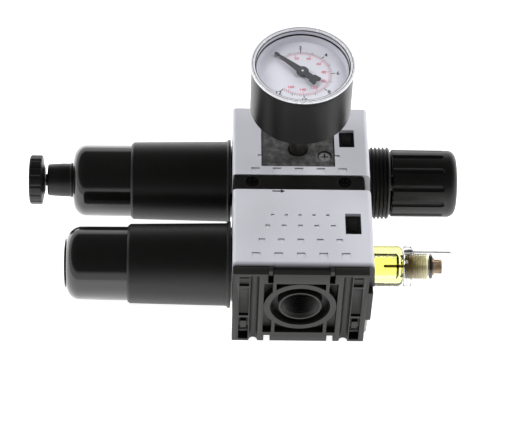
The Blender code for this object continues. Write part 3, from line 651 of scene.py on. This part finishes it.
coverLook = {"left": 1.6, "right": 65.3, "bulge": 67.3, "wall": 2.2, "edge": 2.5, "leftEdge": 1.8,
             "markDepth": 0.45, "tongueStart": 7.0, "tongueRadius": 3.0,
             "rows": ((36.5, 6.6, 1.5), (30.0, 7.8, 2.3), (21.5, 9.2, 3.1), (13.1, 10.6, 4.1))}


def coverMarks():
    # wedge pockets in rows, deep at the far edge and running out towards the port, bigger row by row
    tools = []
    depth = coverLook["markDepth"]
    for row, pitch, width in coverLook["rows"]:
        far, near = row + 0.2 - halfWidth, row - 0.85 * width - halfWidth
        wedge = [(far, moduleTop - 1.4), (far, moduleTop + 1), (near - 0.3, moduleTop + 1),
                 (near, moduleTop - 0.04), (far - 0.45, moduleTop - depth), (far - 0.45, moduleTop - 1.4)]
        for column in range(-2, 3):
            x = body["length"] / 2 + column * pitch
            tools.append(prism(wedge, x - width / 2, x + width / 2, "X"))
    return tools


def makeFrontCover(name, node, origin, start, window, plateTool=None):
    top, foot, wall = moduleTop, body["foot"] - axisHeight, coverLook["wall"]
    left, right, bulge = coverLook["left"], coverLook["right"], coverLook["bulge"]
    outer = [(bulge, foot), (bulge - 0.12, foot + 3), (bulge - 0.45, top - 7.5)]
    outer += arc((right - 1.2, top - coverLook["edge"]), coverLook["edge"], 8, 90, 10)
    outer += arc((left, top - coverLook["leftEdge"]), coverLook["leftEdge"], 90, 172, 8)
    outer += [(-0.35, foot + 4), (-0.4, foot)]
    inner = [(wall - 0.4, foot), (wall, top - wall), (right - wall + 0.2, top - wall),
             (bulge - wall - 0.2, foot)]
    shape = prism(outer + inner, start, halfWidth)
    if start < 6 - halfWidth:
        # tongue over the thin part of the flange, between two fingers that end in the notches
        edge, radius = coverLook["tongueStart"] - halfWidth, coverLook["tongueRadius"]
        first, last = port["notch"][1] + 0.1, mirroredX(port["notch"][1]) - 0.1
        slope = [(edge + 0.1, top)] + arc((edge, top - radius), radius, 90, 180, 10)
        tongue = prism(slope + [(edge - radius, top - 3.7), (edge + 0.1, top - 3.7)], first, last, "X")
        fingers = [block((x, 1.8 - halfWidth, top - 3.2), (x + 2.0, edge + 0.3, top), 0.0)
                   for x in (port["notch"][0] + 0.3, mirroredX(port["notch"][1]) + 0.3)]
        middleCut = block((first - 0.1, start - 1, top - 5), (last + 0.1, edge, top + 1))
        shape = carved(shape, middleCut)
        shape = carved(shape, tongue, *fingers, operation="UNION")
    tools = [block((window[0], window[1], 8), (window[2], window[3], top + 2), 0.35)]
    tools += [rod(-3, 6, body["bowlBore"] + 0.2, 96), rod(57.3, 72, 18.6, 96)]
    tools += coverMarks()
    if plateTool:
        tools.append(plateTool)
    return finish(name, carved(shape, *tools), node, origin, edge=0.18)


def makeRearCover(name, node, origin, start):
    bottom, lip, wall = -axisHeight, body["rearDepth"] - axisHeight, coverLook["wall"]
    outer = [(0.2, lip)] + arc((2.4, bottom + 2.2), 2.2, 180, 270, 8)
    outer += arc((63.2, bottom + 2.4), 2.4, 270, 355, 8)
    inner = [(66.0, lip), (66.0 - wall, lip), (65.5 - wall, bottom + wall), (wall + 0.2, bottom + wall),
             (wall + 0.2, lip)]
    shape = prism(outer + inner, start, halfWidth)
    ribs = [block((x, start + 2, bottom + wall - 0.1), (x + 1.2, start + 5, bottom + wall + 0.6))
            for x in (20, 44)]
    shape = carved(shape, *ribs, operation="UNION")
    tools = [rod(-3, 6, body["bowlBore"] + 0.2, 96), rod(57.3, 72, 18.6, 96)]
    # four shallow fixing recesses in the back
    for x in (12.0, 52.0):
        for y in (-6.0, 14.0):
            tools.append(shifted(rod(bottom - 1, bottom + 0.8, 2.6, 32, "Z"), (x, y, 0)))
    return finish(name, carved(shape, *tools), node, origin, edge=0.25)


def makeCatch(name, node, origin, window):
    # a sprung black tab at the bottom of the window
    x, y = window[0] + 0.4, window[1] + 0.4
    endX, endY = window[2] - 0.4, window[3] - 0.4
    base = block((x, y, 22.8), (endX, endY, 23.9), 0.25)
    rib = block((x + 1.2, y + 2.6, 23.0), (endX - 1.2, endY - 2.6, 24.7), 0.3)
    cross = block((x + 0.2, y + 5.0, 23.0), (endX - 0.2, y + 6.2, 24.3), 0.2)
    return finish(name, carved(base, rib, cross, operation="UNION"), node, origin)


windows = {"oil": (53.4, -1.3, 61.0, 11.3), "air": (52.0, 0.8, 59.5, 12.0)}
plateSize = {"x": 17.5, "y": 11.4, "gap": 0.45, "top": moduleTop - 0.6, "thick": 1.6, "screw": (13.0, -4.3)}


def makeBodies():
    for kind, origin, side, chamber, start in (("oil", oilAxis, -1, 10.3, 5.0 - halfWidth),
                                               ("air", airAxis, 1, 20.6, 8.8 - halfWidth)):
        prefix = "lubricator" if kind == "oil" else "filter_regulator"
        word = "lubricator" if kind == "oil" else "filterRegulator"
        window = windows[kind]
        x0, y0, x1, y1 = window
        hole = block((x0 - 0.3, y0 - 0.3, 21.5), (x1 + 0.3, y1 + 0.3, 40))
        plateTool = None
        if kind == "air":
            centre, grow = gaugeAxis.x - origin.x, plateSize["gap"]
            plateTool = block((centre - plateSize["x"] - grow, -plateSize["y"] - grow, moduleTop - 4),
                              (centre + plateSize["x"] + grow, plateSize["y"] + grow, moduleTop + 3))
            stemHole = shifted(rod(13.5, 30, 5.6, 32, "Z"), (centre, 0, 0))
            screwX, screwY = plateSize["screw"]
            screwHole = shifted(rod(17.5, 30, 3.6, 32, "Z"), (centre + screwX, screwY, 0))
            hole = joined([hole, stemHole, screwHole])
        makeHousing(word + "Housing", prefix + "_housing", origin, side, chamber, hole)
        makeFrontCover(word + "FrontCover", prefix + "_front_cover", origin, start, window, plateTool)
        makeRearCover(word + "RearCover", prefix + "_rear_cover", origin, start)
        makeCatch(word + "CoverCatch", prefix + "_cover_catch", origin, window)
        makeBush(word + "PortBush", "outlet_port_bush" if kind == "oil" else "inlet_port_bush", origin, side)
    print("module bodies done")


bush = {"mouth": 0.4, "length": 14.0, "outer": 10.3, "root": 8.5, "crest": 7.8, "pitch": 1.34}


def makeBush(name, node, origin, side):
    # threaded insert, with a chamfered mouth and thread ridges inside
    inside = []
    depth = 1.6
    while depth < bush["length"] - bush["pitch"]:
        inside += [(depth, bush["root"]), (depth + bush["pitch"] * 0.5, bush["crest"])]
        depth += bush["pitch"]
    profile = [(bush["mouth"], bush["outer"]), (bush["mouth"], 9.4)] + inside
    profile += [(bush["length"], bush["root"]), (bush["length"], bush["outer"])]
    face = side * halfWidth
    shape = turned([(face - side * depth, radius) for depth, radius in profile], 96, "Y")
    return finish(name, shifted(shape, (port["x"], 0, port["z"])), node, origin, edge=0.15)


guard = {"length": {"air": 50.2, "oil": 50.5}, "collar": 21.0, "root": 20.0, "tip": 19.25}
bowl = {"radius": 18.0, "wall": 1.8, "fillet": 6.5, "mouth": 12.0, "end": {"air": -79.0, "oil": -80.0},
        "hole": {"air": 3.4, "oil": 0}}
wheel = {"face": -101.0, "end": -94.6, "hubEnd": -93.4, "radius": 12.25, "round": 1.2,
         "flutes": 16, "flute": 1.5, "depth": 0.35}


def makeGuard(name, node, origin, length):
    inner = bowl["radius"] + body["gap"]
    profile = [(-1.0, guard["collar"]), (-2.3, guard["collar"]), (-2.8, guard["root"] + 0.1),
               (-4.2, guard["root"]), (-length + 1.1, guard["tip"]), (-length, guard["tip"] - 0.9),
               (-length, inner), (-1.0, inner)]
    shape = turned(softened(profile, 0.35, 3), 128)
    return finish(name, shape, node, origin)


def makeBowl(name, node, origin, end, hole):
    radius, fillet, wall = bowl["radius"], bowl["fillet"], bowl["wall"]
    centre = (end + fillet, radius - fillet - 0.2)
    profile = [(end + wall, hole)] + arc(centre, fillet - wall, 180, 90, 10)
    profile += [(bowl["mouth"], radius - wall), (bowl["mouth"], radius), (-14, radius)]
    profile += arc(centre, fillet, 90, 180, 16) + [(end, hole)]
    return finish(name, turned(profile, 128), node, origin)


def makeWheel():
    # drain wheel: thumb scallops round a nearly flat disc on a small hub
    face, end, radius, curve = wheel["face"], wheel["end"], wheel["radius"], wheel["round"]
    profile = [(face, 0), (face + 0.04, radius - curve - 2.0)]
    profile += arc((face + 0.1 + curve, radius - curve), curve, 180, 90, 8)
    profile += [(end - 0.4, radius), (end, radius - 0.4), (end + 0.5, 8.5), (wheel["hubEnd"], 6.4),
                (wheel["hubEnd"], 0)]
    shape = turned(profile, 144)
    tools = []
    for index in range(wheel["flutes"]):
        angle = 2 * math.pi * (index + 0.5) / wheel["flutes"]
        reach = radius + wheel["flute"] - wheel["depth"]
        tools.append(shifted(rod(-104, -90, wheel["flute"], 20),
                             (0, reach * math.cos(angle), reach * math.sin(angle))))
    return finish("drainWheel", carved(shape, *tools), "drain_wheel", airAxis, edge=0.15)


def makeBowls():
    for kind, origin, word, prefix in (("air", airAxis, "filter", "filter"), ("oil", oilAxis, "oil", "oil")):
        makeGuard(word + "BowlGuard", prefix + "_bowl_guard", origin, guard["length"][kind])
        makeBowl(word + "Bowl", prefix + "_bowl", origin, bowl["end"][kind], bowl["hole"][kind])
    end = bowl["end"]["oil"] - 0.3
    disc = [(-81.0, 0), (-81.0, 10.8), (-80.85, 11.9), (end, 12.4), (end, 0)]
    finish("oilBowlDisc", turned(softened(disc, 0.25, 2), 128), "oil_bowl_disc", oilAxis)
    end = bowl["end"]["air"] - 0.3
    neck = [(end, 3.4), (end, 8.65), (-80.2, 8.65), (-80.6, 8.3), (-84.0, 8.3), (-91.4, 7.85), (-91.9, 7.4),
            (-91.9, 3.4)]
    finish("drainNeck", turned(softened(neck, 0.2, 2), 96), "drain_neck", airAxis)
    stem = [(-93.1, 0), (-93.1, 3.0), (-76.0, 3.0), (-76.0, 4.6), (-74.0, 4.6), (-72.5, 0)]
    finish("drainValveStem", turned(softened(stem, 0.2, 2), 64), "drain_valve_stem", airAxis, "black_plastic")
    makeWheel()
    print("bowls done")


bonnet = {"radius": 18.0, "crest": 18.0, "root": 17.0, "threadStart": 66.3, "pitch": 1.9, "turns": 6,
          "end": 77.8}
knob = {"radius": 16.65, "start": 78.9, "end": 111.0, "dome": 4.2, "flutes": 12, "fluteRadius": 2.05,
        "fluteDepth": 1.0, "fluteEnd": 105.0, "firstFlute": 19.0}


def makeBonnet():
    crest, root = bonnet["crest"], bonnet["root"]
    profile = [(54.5, 20.3), (58.5, 20.3), (58.5, bonnet["radius"]),
               (bonnet["threadStart"] - 1.2, bonnet["radius"])]
    for turn in range(bonnet["turns"]):
        x = bonnet["threadStart"] + turn * bonnet["pitch"]
        profile += [(x - 0.35, root), (x + 0.25, root), (x + 0.75, crest), (x + 1.1, crest)]
    end = bonnet["end"]
    profile += [(end, crest - 0.9), (end, 4.4), (74.6, 4.4), (74.6, 14.6), (54.5, 14.6)]
    finish("regulatorBonnet", turned(softened(profile, 0.16, 2), 128), "regulator_bonnet", airAxis)
    ring = [(58.8, 18.3), (62.5, 18.3), (62.5, 20.3), (58.8, 20.3)]
    finish("bonnetRing", turned(softened(ring, 0.2, 2), 96), "bonnet_ring", airAxis)


def makeKnob():
    radius, start, end, dome = knob["radius"], knob["start"], knob["end"], knob["dome"]
    profile = [(104.0, 0), (104.0, 3.3), (88.0, 3.3), (88.0, 6.0), (104.0, 6.0), (107.5, 9.0), (107.5, 13.0),
               (102.0, 14.2), (start, 14.2), (start, radius - 0.4), (start + 0.4, radius)]
    profile += arc((end - dome, radius - dome), dome, 90, 12, 12)
    profile += [(end - 0.02, radius - dome - 1.5), (end, 0)]
    shape = turned(profile, 144)
    tools = []
    for index in range(knob["flutes"]):
        flute = [(start - 3, 0), (start - 3, knob["fluteRadius"])]
        flute += arc((knob["fluteEnd"] - knob["fluteRadius"], 0), knob["fluteRadius"], 90, 0, 8)
        angle = math.radians(knob["firstFlute"] + index * 360 / knob["flutes"])
        reach = radius + knob["fluteRadius"] - knob["fluteDepth"]
        tools.append(shifted(turned(flute, 28), (0, reach * math.cos(angle), reach * math.sin(angle))))
    finish("adjustingKnob", carved(shape, *tools), "adjusting_knob", airAxis, edge=0.12)


gauge = {"bottom": low("gauge_case").z, "top": high("gauge_lens").z, "radius": 24.7, "case": 24.2,
         "foot": 24.2, "dial": 20.9, "pointerAngle": 137.0}
scale = {"start": 137.0, "sweep": 270.0, "arc": 13.2, "outerSteps": 12, "outerNumbers": 6, "innerSteps": 50,
         "innerNumber": 20, "innerAngle": 32.5, "outerText": 16.2, "innerText": 10.6, "lift": 0.02}


def makeCase():
    bottom, top = gauge["bottom"], gauge["top"]
    profile = [(bottom, 0), (bottom, gauge["foot"] - 0.4), (bottom + 0.4, gauge["foot"]),
               (top - 3.0, gauge["case"]), (top - 3.0, 22.1), (bottom + 1.8, 22.1), (bottom + 1.8, 0)]
    finish("gaugeCase", turned(profile, 144, "Z"), "gauge_case", gaugeAxis, "caseBlack", edge=0.08)


def makeLens():
    # bright rim over a black skirt, with a pale liner, a dark line, a dark ring of painted shade between rim
    # and window, and the window itself
    top, radius = gauge["top"], gauge["radius"]
    rim = [(top - 1.3, 22.45), (top - 1.3, radius - 0.5), (top - 1.0, radius), (top - 0.25, radius),
           (top - 0.02, radius - 0.25), (top - 0.02, 23.0), (top - 0.4, 22.8), (top - 0.4, 22.5)]
    finish("gaugeRim", turned(softened(rim, 0.12, 2), 144, "Z"), "gauge_lens", gaugeAxis, "rim")
    rings = {"gaugeSkirt": (22.5, radius - 0.35, 2.7, 1.35, "caseBlack"),
             "lensLiner": (22.12, 22.42, 2.7, 1.0, "dial_paint"),
             "rimLine": (23.45, 23.72, 0.1, 0.0, "darkInk"),
             # painted shade: a thin dark ring where the shadow line between window and rim falls
             "lensShadeRing": (22.1, 22.45, 0.95, 0.65, "darkInk")}
    for name, (inner, outer, drop, cover, look) in rings.items():
        ring = [(top - drop, inner), (top - drop, outer), (top - cover, outer), (top - cover, inner)]
        finish(name, turned(ring, 144, "Z"), "gauge_lens", gaugeAxis, look, replaces=False)
    pane = [(top - 1.9, 0), (top - 1.9, 22.0), (top - 1.2, 22.0), (top - 1.1, 20.0), (top - 1.0, 0)]
    finish("gaugeWindow", turned(pane, 128, "Z"), "gauge_lens", gaugeAxis, "pane", replaces=False)


def makeDial():
    floor, dialTop = gauge["top"] - 7.7, gauge["top"] - 6.9
    profile = [(floor, 1.3), (floor, 21.9), (gauge["top"] - 3.6, 21.9), (gauge["top"] - 3.6, 21.5),
               (dialTop + 1.0, gauge["dial"] + 0.25), (dialTop, gauge["dial"]), (dialTop, 1.3)]
    finish("gaugeDial", turned(profile, 144, "Z"), "gauge_dial", gaugeAxis)


def tick(angle, inner, outer, width):
    bar = block((inner, -width / 2, 0), (outer, width / 2, 0.02))
    return turnedBy(bar, math.radians(angle), "Z")


def number(text, angle, radius, size):
    # a figure as a flat mesh, upright on the dial
    curve = bpy.data.curves.new("figure", "FONT")
    curve.body = text
    curve.size = size
    curve.align_x = "CENTER"
    curve.align_y = "CENTER"
    curve.resolution_u = 3
    curve.offset = 0.06
    holder = bpy.data.objects.new("figure", curve)
    bpy.context.scene.collection.objects.link(holder)
    bpy.context.view_layer.update()
    mesh = bpy.data.meshes.new_from_object(holder)
    bpy.data.objects.remove(holder)
    bpy.data.curves.remove(curve)
    shape = bmesh.new()
    shape.from_mesh(mesh)
    bpy.data.meshes.remove(mesh)
    bmesh.ops.remove_doubles(shape, verts=shape.verts, dist=1e-5)
    a = math.radians(angle)
    return shifted(shape, (radius * math.cos(a), radius * math.sin(a), 0.015))


def makeScale():
    # outer figures and ticks in black, inner arc, ticks and figures in red
    height = gauge["top"] - 6.9 + scale["lift"]
    first, sweep, radius = scale["start"], scale["sweep"], scale["arc"]
    dark = []
    for step in range(scale["outerSteps"] * 5 + 1):
        angle = first - sweep * step / (scale["outerSteps"] * 5)
        reach, width = (2.0, 0.42) if step % 10 == 0 else (1.3, 0.32) if step % 5 == 0 else (0.8, 0.2)
        dark.append(tick(angle, radius + 0.25, radius + 0.25 + reach, width))
    for index in range(scale["outerNumbers"] + 1):
        angle = first - sweep * index / scale["outerNumbers"]
        dark.append(number(str(2 * index), angle, scale["outerText"] + 0.6, 3.0))
    red = [shifted(turned([(-0.0, radius - 0.08), (0.0, radius + 0.08), (0.02, radius + 0.08),
                           (0.02, radius - 0.08)], 144, "Z"), (0, 0, 0))]
    keepOut = prism([(0, 0)] + [(30 * math.cos(math.radians(a)), 30 * math.sin(math.radians(a)))
                                for a in (first + 1, 182, first + 360 - sweep - 1)], -1, 1, "Z")
    red = [carved(red[0], keepOut)]
    for step in range(scale["innerSteps"] + 1):
        angle = first - sweep * step / scale["innerSteps"]
        reach, width = (1.3, 0.3) if step % 6 == 0 else (0.8, 0.2)
        red.append(tick(angle, radius - 0.2 - reach, radius - 0.2, width))
    for index in range(1, 9):
        angle = first - scale["innerAngle"] * index
        red.append(number(str(scale["innerNumber"] * index), angle, scale["innerText"] - 0.4, 2.2))
    for name, shapes, ink in (("dialFigures", dark, "darkInk"), ("dialRedScale", red, "redInk")):
        finish(name, shifted(joined(shapes), (0, 0, height)), "gauge_dial", gaugeAxis, ink, replaces=False)


def makePointer():
    # blade with a notch near its tip, round hub, forked counterweight
    bottom = gauge["top"] - 5.5
    half = [(17.5, 0.3), (16.7, 0.75), (15.1, 0.8), (14.8, 0.42), (14.0, 0.42), (13.7, 0.65), (2.5, 1.55)]
    hub = [(2.95 * math.cos(math.radians(a)), 2.95 * math.sin(math.radians(a))) for a in range(30, 156, 15)]
    tail = [(-5.4, 1.5), (-6.0, 2.3), (-9.3, 2.6), (-9.6, 2.3), (-9.5, 1.1), (-8.9, 0.5)]
    half = half + hub + tail
    shape = prism(half + [(x, -y) for x, y in reversed(half)], bottom, bottom + 0.8, "Z")
    cap = [(bottom + 0.4, 0), (bottom + 0.4, 2.5), (bottom + 0.9, 2.5), (bottom + 0.9, 0)]
    cap = turned(softened(cap, 0.1), 48, "Z")
    shape = turnedBy(carved(shape, cap, operation="UNION"), math.radians(gauge["pointerAngle"]), "Z")
    finish("gaugePointer", shape, "gauge_pointer", gaugeAxis, edge=0.08)
    pin = turned([(bottom + 0.8, 0), (bottom + 0.8, 0.65), (bottom + 1.15, 0.5), (bottom + 1.25, 0)], 32, "Z")
    finish("pointerPin", pin, "gauge_pointer", gaugeAxis, "pinSteel", replaces=False)


def crossSlot(x, y, top, reach, width, depth):
    # two crossed bars that cut a driver's cross
    return [block((x - a, y - b, top - depth), (x + a, y + b, top + 2)) for a, b in
            ((reach, width / 2), (width / 2, reach))]


def makeMount():
    top, thick = plateSize["top"] + axisHeight, plateSize["thick"]
    halfX, halfY = plateSize["x"], plateSize["y"]
    side = [(-halfY, top - thick), (-halfY, top - 0.75), (-halfY + 0.5, top - 0.3), (-halfY + 2.4, top - 0.3),
            (-halfY + 2.8, top), (halfY, top), (halfY, top - thick)]
    plate = prism(side, -halfX, halfX, "X")
    x, y = plateSize["screw"]
    plate = carved(plate, rod(top - 4, top + 2, 4.9, 48, "Z"),
                   shifted(rod(top - 4, top + 2, 3.5, 48, "Z"), (x, y, 0)))
    finish("gaugePlate", plate, "gauge_plate", gaugeAxis, edge=0.2)
    head = [(top - 3.6, 0), (top - 3.6, 3.1), (top - 1.2, 3.1), (top - 0.9, 2.6), (top - 0.9, 0)]
    head = turned(softened(head, 0.25), 64, "Z")
    head = carved(shifted(head, (x, y, 0)), *crossSlot(x, y, top - 0.9, 1.9, 0.7, 1.3))
    finish("plateScrew", head, "plate_screw", gaugeAxis, "screwSteel", edge=0.08)
    stem = [(41.0, 0), (41.0, 4.6), (70.0, 4.6)]
    finish("gaugeStem", makeStem(stem), "gauge_stem", gaugeAxis, "stemNickel", edge=0.25)


def makeStem(lower):
    # round shank under a square driving block and a collar
    end = gauge["bottom"] - body["gap"]
    shank = turned(lower + [(70.5, 0)], 64, "Z")
    square = block((-5.9, -5.9, 70.0), (5.9, 5.9, end - 1.6), 0.4)
    collar = turned([(78.0, 0), (78.0, 7.6), (end, 7.6), (end, 0)], 64, "Z")
    return carved(shank, square, collar, operation="UNION")


needle = {"thread": (83.2, 94.0), "crest": 6.25, "root": 5.75, "pitch": 0.8}


def makeSightDome():
    outer = [(53.0, 9.9), (79.4, 9.9)] + arc((79.6, 7.3), 2.6, 88, 2, 8)
    inner = [(82.2, 1.5), (80.0, 1.5), (80.0, 3.6), (79.0, 4.6), (53.0, 4.6)]
    finish("sightDome", turned(outer + inner, 128), "sight_dome", oilAxis)


def makeAdjuster():
    clear = [(82.6, 9.7), (86.4, 9.7), (87.1, 9.2), (87.4, 7.6), (105.2, 7.5), (106.0, 7.2), (106.0, 6.8),
             (82.6, 6.8)]
    finish("adjusterGuard", turned(softened(clear, 0.3, 3), 128), "adjuster_guard", oilAxis)
    profile = [(73.0, 0), (73.5, 0.7), (82.9, 0.7), (82.9, 5.9)]
    x = needle["thread"][0]
    while x < needle["thread"][1] - needle["pitch"]:
        profile += [(x, needle["root"]), (x + needle["pitch"] * 0.5, needle["crest"])]
        x += needle["pitch"]
    profile += [(94.0, 5.9), (94.2, 5.6), (94.2, 4.2), (97.2, 4.2), (97.4, 3.4), (100.7, 3.4), (101.0, 3.1),
                (101.0, 0)]
    shape = carved(turned(profile, 96), block((99.4, -4, -0.5), (102, 4, 0.5)))
    finish("dripNeedleScrew", shape, "drip_needle_screw", oilAxis, "threadBrass", edge=0.06)
    ring = arc((95.7, 5.2), 0.75, 0, 345, 23)
    finish("needleSeal", turned(ring, 64), "needle_seal", oilAxis)
    nozzle = [(48.0, 1.2), (48.0, 7.0), (52.0, 7.0), (52.0, 3.4), (67.4, 2.4), (68.0, 1.9), (68.0, 1.2)]
    finish("dripNozzle", turned(softened(nozzle, 0.2, 2), 64), "drip_nozzle", oilAxis)


strip = {"width": 8.4, "thick": 2.2, "length": 63.5, "screws": (9.2, 54.0), "row": 4.25, "corner": 1.5}


def makeStrips():
    near = -halfWidth
    frontBottom = moduleTop - strip["thick"]
    for name, node, bottom, side in (("couplingStripFront", "coupling_strip_front", frontBottom, 1),
                                     ("couplingStripRear", "coupling_strip_rear", -axisHeight, -1)):
        length, corner = strip["length"], strip["corner"]
        outline = [(0.3, near + 0.1), (length, near + 0.1)]
        outline += arc((length - corner, near + strip["width"] - 0.1 - corner), corner, 0, 90, 8)
        outline.append((0.3, near + strip["width"] - 0.1))
        shape = prism(outline, bottom, bottom + strip["thick"], "Z")
        face = bottom + strip["thick"] if side > 0 else bottom
        holes = []
        for index, x in enumerate(strip["screws"]):
            y = near + strip["row"]
            holes.append(shifted(rod(bottom - 1, bottom + strip["thick"] + 1, 3.3, 48, "Z"), (x, y, 0)))
            ends = sorted((face - side * 0.45, face - side * (strip["thick"] - 0.1)))
            head = softened([(ends[0], 0), (ends[0], 3.0), (ends[1], 3.0), (ends[1], 0)], 0.35, 4)
            screw = turned(head, 64, "Z")
            bars = [block((-a, -b, -1.0), (a, b, 1.0)) for a, b in ((1.9, 0.32), (0.32, 1.9))]
            bars = [shifted(bar, (0, 0, face - side * 0.3)) for bar in bars]
            screw = shifted(carved(screw, *bars), (x, y, 0))
            finish(f"{name}Screw{index + 1}", screw, f"{node}_screw_{index + 1}", airAxis, edge=0.06)
        finish(name, carved(shape, *holes), node, airAxis, edge=0.3)


arrow = {"start": 18.9, "length": 6.2, "row": 50.9, "head": 2.2, "half": 1.15, "shaft": 0.38, "lift": 0.01}


def makeFlowArrow():
    # printed arrow that points the way the air goes
    start, end, head = arrow["start"], arrow["start"] + arrow["length"], arrow["head"]
    y = arrow["row"] - halfWidth
    half = [(end, 0.01), (end - head, arrow["half"]), (end - head, arrow["shaft"]), (start, arrow["shaft"])]
    outline = [(a, y + b) for a, b in half] + [(a, y - b) for a, b in reversed(half)]
    z = moduleTop + arrow["lift"]
    finish("flowArrow", prism(outline, z, z + 0.01, "Z"), "lubricator_front_cover", oilAxis, "darkInk",
           replaces=False)


makeCamera()
makeWorld()
makeFloor()
makeLights()
makeBodies()
makeBowls()
makeBonnet()
makeKnob()
print("regulator done")
makeCase()
makeLens()
makeDial()
makeScale()
makePointer()
makeMount()
print("gauge done")
makeSightDome()
makeAdjuster()
makeStrips()
makeFlowArrow()
print("lubricator top and strips done")
bpy.context.scene.view_settings.view_transform = "Standard"
